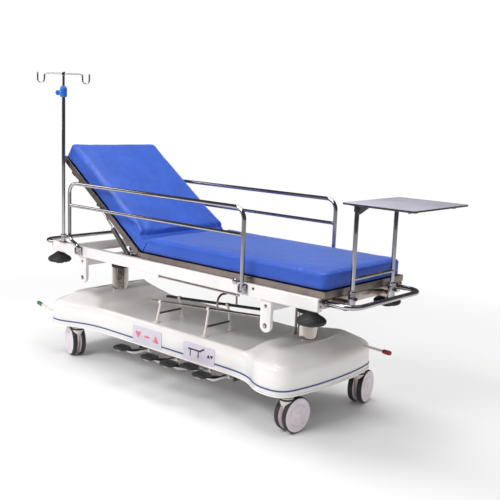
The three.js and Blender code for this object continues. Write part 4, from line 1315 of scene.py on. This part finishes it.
def shaped_cushion(node, body, turn, fold_end):
    """A crowned, seamed cushion: simulated flat, then set on its body."""
    obj = cushion_shell(node, turn)
    low, high = corners_of(node, turn)
    before = [v.co.copy() for v in obj.data.vertices]
    after = inflated(obj)
    fold_x = low.x if fold_end < 0 else high.x
    lean = math.tan(FOLD_LEAN)
    normals = [v.normal.copy() for v in obj.data.vertices]
    for vertex, start, end, normal in zip(obj.data.vertices, before, after, normals):
        shift = end - start
        if shift.length > PUFF_LIMIT:
            shift = shift.normalized() * PUFF_LIMIT
        point = start + shift * 0.75
        point.z += crowned(start, low, high, 0.004)
        if node == "back_cushion":
            point += normal * fold_creases(start, fold_x, 1 if start.z > low.z + 0.02 else 0, low, high)
        point += normal * 0.0007 * noise.noise(start * 14)
        point.z = max(point.z, low.z + 0.0006)
        face = fold_x - fold_end * ((point.z - low.z) * lean + 0.0012)
        point.x = max(point.x, face) if fold_end < 0 else min(point.x, face)
        point.x = min(max(point.x, low.x - 0.004), high.x + 0.004)
        point.y = min(max(point.y, low.y - 0.005), high.y + 0.005)
        vertex.co = point
    obj.data.materials.clear()
    obj.data.materials.append(FABRIC)
    back = turn.inverted()
    seams = cushion_seams(obj, low, high, fold_end)
    finer = obj.modifiers.new("finer", "SUBSURF")
    finer.levels = finer.render_levels = 1
    baked(obj)
    obj.data.transform(back)
    obj.data.shade_smooth()
    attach(obj, body)
    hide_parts(node)
    seam_shape = Shape(f"{node}_seams")
    for path in seams:
        seam_shape.add(moved(sweep(path, 0.0013, 10), back), FABRIC)
    seam_shape.build(body, "cushion_cover")


def cushion_seams(obj, low, high, fold_end):
    """Welted seam lines laid on the inflated surface, round the sides near the top and the bottom."""
    tree = BVHTree.FromPolygons([v.co for v in obj.data.vertices],
        [tuple(p.vertices) for p in obj.data.polygons])
    lines = []
    far_end = high.x if fold_end < 0 else low.x
    near_end = low.x if fold_end < 0 else high.x
    for height in (0.012, high.z - low.z - 0.013):
        start = near_end - fold_end * (height * math.tan(FOLD_LEAN) + 0.010)
        corners = [(start, low.y), (far_end, low.y), (far_end, high.y), (start, high.y)]
        line = eased(corners, 0.040, 8)
        dense = []
        for a, b in zip(line, line[1:]):
            count = max(1, math.ceil((b - a).length / 0.012))
            dense += [a.lerp(b, i / count) for i in range(count)]
        found = [tree.find_nearest(Vector((p.x, p.y, low.z + height)))[0] for p in dense + [line[-1]]]
        smooth = [(a + b * 2 + c) / 4 for a, b, c in zip(found, found[1:], found[2:])]
        lines.append([found[0]] + smooth + [found[-1]])
    return lines


def fold_gusset():
    """Fabric over the fold between the cushions: one fixed arc round the backrest hinge."""
    hinge = pivot("backrest_tilt")
    seat_low, seat_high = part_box("seat_cushion")
    thickness = seat_high.z - seat_low.z
    corner = Vector((seat_low.x + thickness * math.tan(FOLD_LEAN), 0, seat_high.z))
    rim = corner - Vector((hinge.x, 0, hinge.z))
    outer = rim.length - 0.003
    start = math.atan2(rim.x, rim.z) + math.radians(3.0)
    span = math.radians(70) - BACK_ANGLE + math.radians(6.0)
    half = (seat_high.y - seat_low.y) / 2 - 0.004
    y = (seat_low.y + seat_high.y) / 2
    across, around = 28, 40
    points, faces = [], []
    for row in range(across + 1):
        turn = start - span * row / across
        share = row / across
        dip = 0.022 * math.sin(math.pi * share)
        for column in range(around + 1):
            side = -half + 2 * half * column / around
            for radius in (outer - dip, 0.022):
                points.append(Vector((hinge.x + radius * math.sin(turn), y + side,
                    hinge.z + radius * math.cos(turn))))
    width = (around + 1) * 2

    def spot(row, column, inner):
        return row * width + column * 2 + inner

    for row in range(across):
        for column in range(around):
            for inner in (0, 1):
                faces.append([spot(row, column, inner), spot(row + 1, column, inner),
                    spot(row + 1, column + 1, inner), spot(row, column + 1, inner)])
        for column in (0, around):
            faces.append([spot(row, column, 0), spot(row + 1, column, 0), spot(row + 1, column, 1),
                spot(row, column, 1)])
    for row in (0, across):
        for column in range(around):
            faces.append([spot(row, column, 0), spot(row, column + 1, 0), spot(row, column + 1, 1),
                spot(row, column, 1)])
    mesh = bpy.data.meshes.new("fold_gusset")
    mesh.from_pydata(points, [], faces)
    mesh.materials.append(FABRIC)
    obj = linked("fold_gusset", mesh)
    tidy(mesh, 50)
    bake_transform(obj)


# ---------------------------------------------------------------- surroundings
CAMERA_PLACE = Vector((2.7198, -2.8278, 1.342))
CAMERA_HEADING = Vector((-0.6555, 0.7365, -0.1670))
CAMERA_ROLL = math.radians(2.185)
CAMERA_LENS = 58.45
AMBIENT = 0.55               # the room's light on matt surfaces
MIRRORED = 0.10              # how bright the room is in a mirror
FLOOR_SIZE = 30.0
FLOOR_FADE = (1.4, 2.9)      # from the middle, where the floor turns into plain white


def camera():
    data = bpy.data.cameras.new("camera")
    data.lens = CAMERA_LENS
    obj = linked("camera", data)
    obj.location = CAMERA_PLACE
    obj.rotation_mode = "QUATERNION"
    obj.rotation_quaternion = CAMERA_HEADING.to_track_quat("-Z", "Y") @ Quaternion((0, 0, 1), CAMERA_ROLL)
    bpy.context.scene.camera = obj


def area_light(name, place, target, size, power):
    data = bpy.data.lights.new(name, "AREA")
    data.shape = "RECTANGLE"
    data.size, data.size_y = size
    data.energy = power
    obj = linked(name, data)
    obj.location = place
    obj.rotation_mode = "QUATERNION"
    obj.rotation_quaternion = (Vector(target) - Vector(place)).to_track_quat("-Z", "Y")


def surroundings():
    """A white sweep to the eye; bright metal mirrors a darker room, and soft light comes from all round."""
    world = bpy.data.worlds.new("studio")
    bpy.context.scene.world = world
    world.use_nodes = True
    nodes, links = world.node_tree.nodes, world.node_tree.links
    nodes.clear()

    def sky(color, strength):
        node = nodes.new("ShaderNodeBackground")
        node.inputs["Color"].default_value = (*color, 1)
        node.inputs["Strength"].default_value = strength
        return node.outputs["Background"]

    def pick(factor, first, second):
        node = nodes.new("ShaderNodeMixShader")
        links.new(factor, node.inputs["Fac"])
        links.new(first, node.inputs[1])
        links.new(second, node.inputs[2])
        return node.outputs["Shader"]

    ray = nodes.new("ShaderNodeLightPath").outputs
    unseen = pick(ray["Is Glossy Ray"], sky((1.0, 0.99, 0.98), AMBIENT), sky((0.90, 0.86, 0.88), MIRRORED))
    out = nodes.new("ShaderNodeOutputWorld")
    links.new(pick(ray["Is Camera Ray"], unseen, sky((1, 1, 1), 1.0)), out.inputs["Surface"])
    bpy.context.scene.view_settings.view_transform = "Standard"


def floor():
    half = FLOOR_SIZE / 2
    mesh = bpy.data.meshes.new("floor")
    mesh.from_pydata([(-half, -half, 0), (half, -half, 0), (half, half, 0), (-half, half, 0)], [],
        [(0, 1, 2, 3)])
    mesh.materials.append(floor_paint())
    obj = linked("floor", mesh)


def lights():
    target = (0, 0, 0.6)
    area_light("key", (-0.4, -3.4, 3.4), target, (2.6, 1.4), 105)
    area_light("top", (0.0, 0.3, 4.2), target, (3.0, 2.0), 92)
    area_light("left", (-3.6, -1.6, 2.2), target, (0.8, 2.0), 18)


# ---------------------------------------------------------------- everything
shaped_cushion("seat_cushion", "platform", Matrix.Identity(4), -1)
shaped_cushion("back_cushion", "backrest", FLAT_TURN, 1)
fold_gusset()
base_cover()
base_trim()
stickers()
columns()
castors()
for index in range(1, 6):
    pedal(index)
for end_name, end_sign in ENDS:
    lock_lever(end_name)
    saddle(end_name)
    push_handle(end_name, end_sign)
    for side_name, _ in SIDES:
        bumper(end_name, side_name)
for side_name, side_sign in SIDES:
    side_rail(side_name, side_sign)
    side_guard(side_name, side_sign)
cross_members()
tie_rod()
drip_stand()
foot_table()
bottle_cradle()
gas_strut()
release_lever()
kept_nodes()
camera()
surroundings()
floor()
lights()
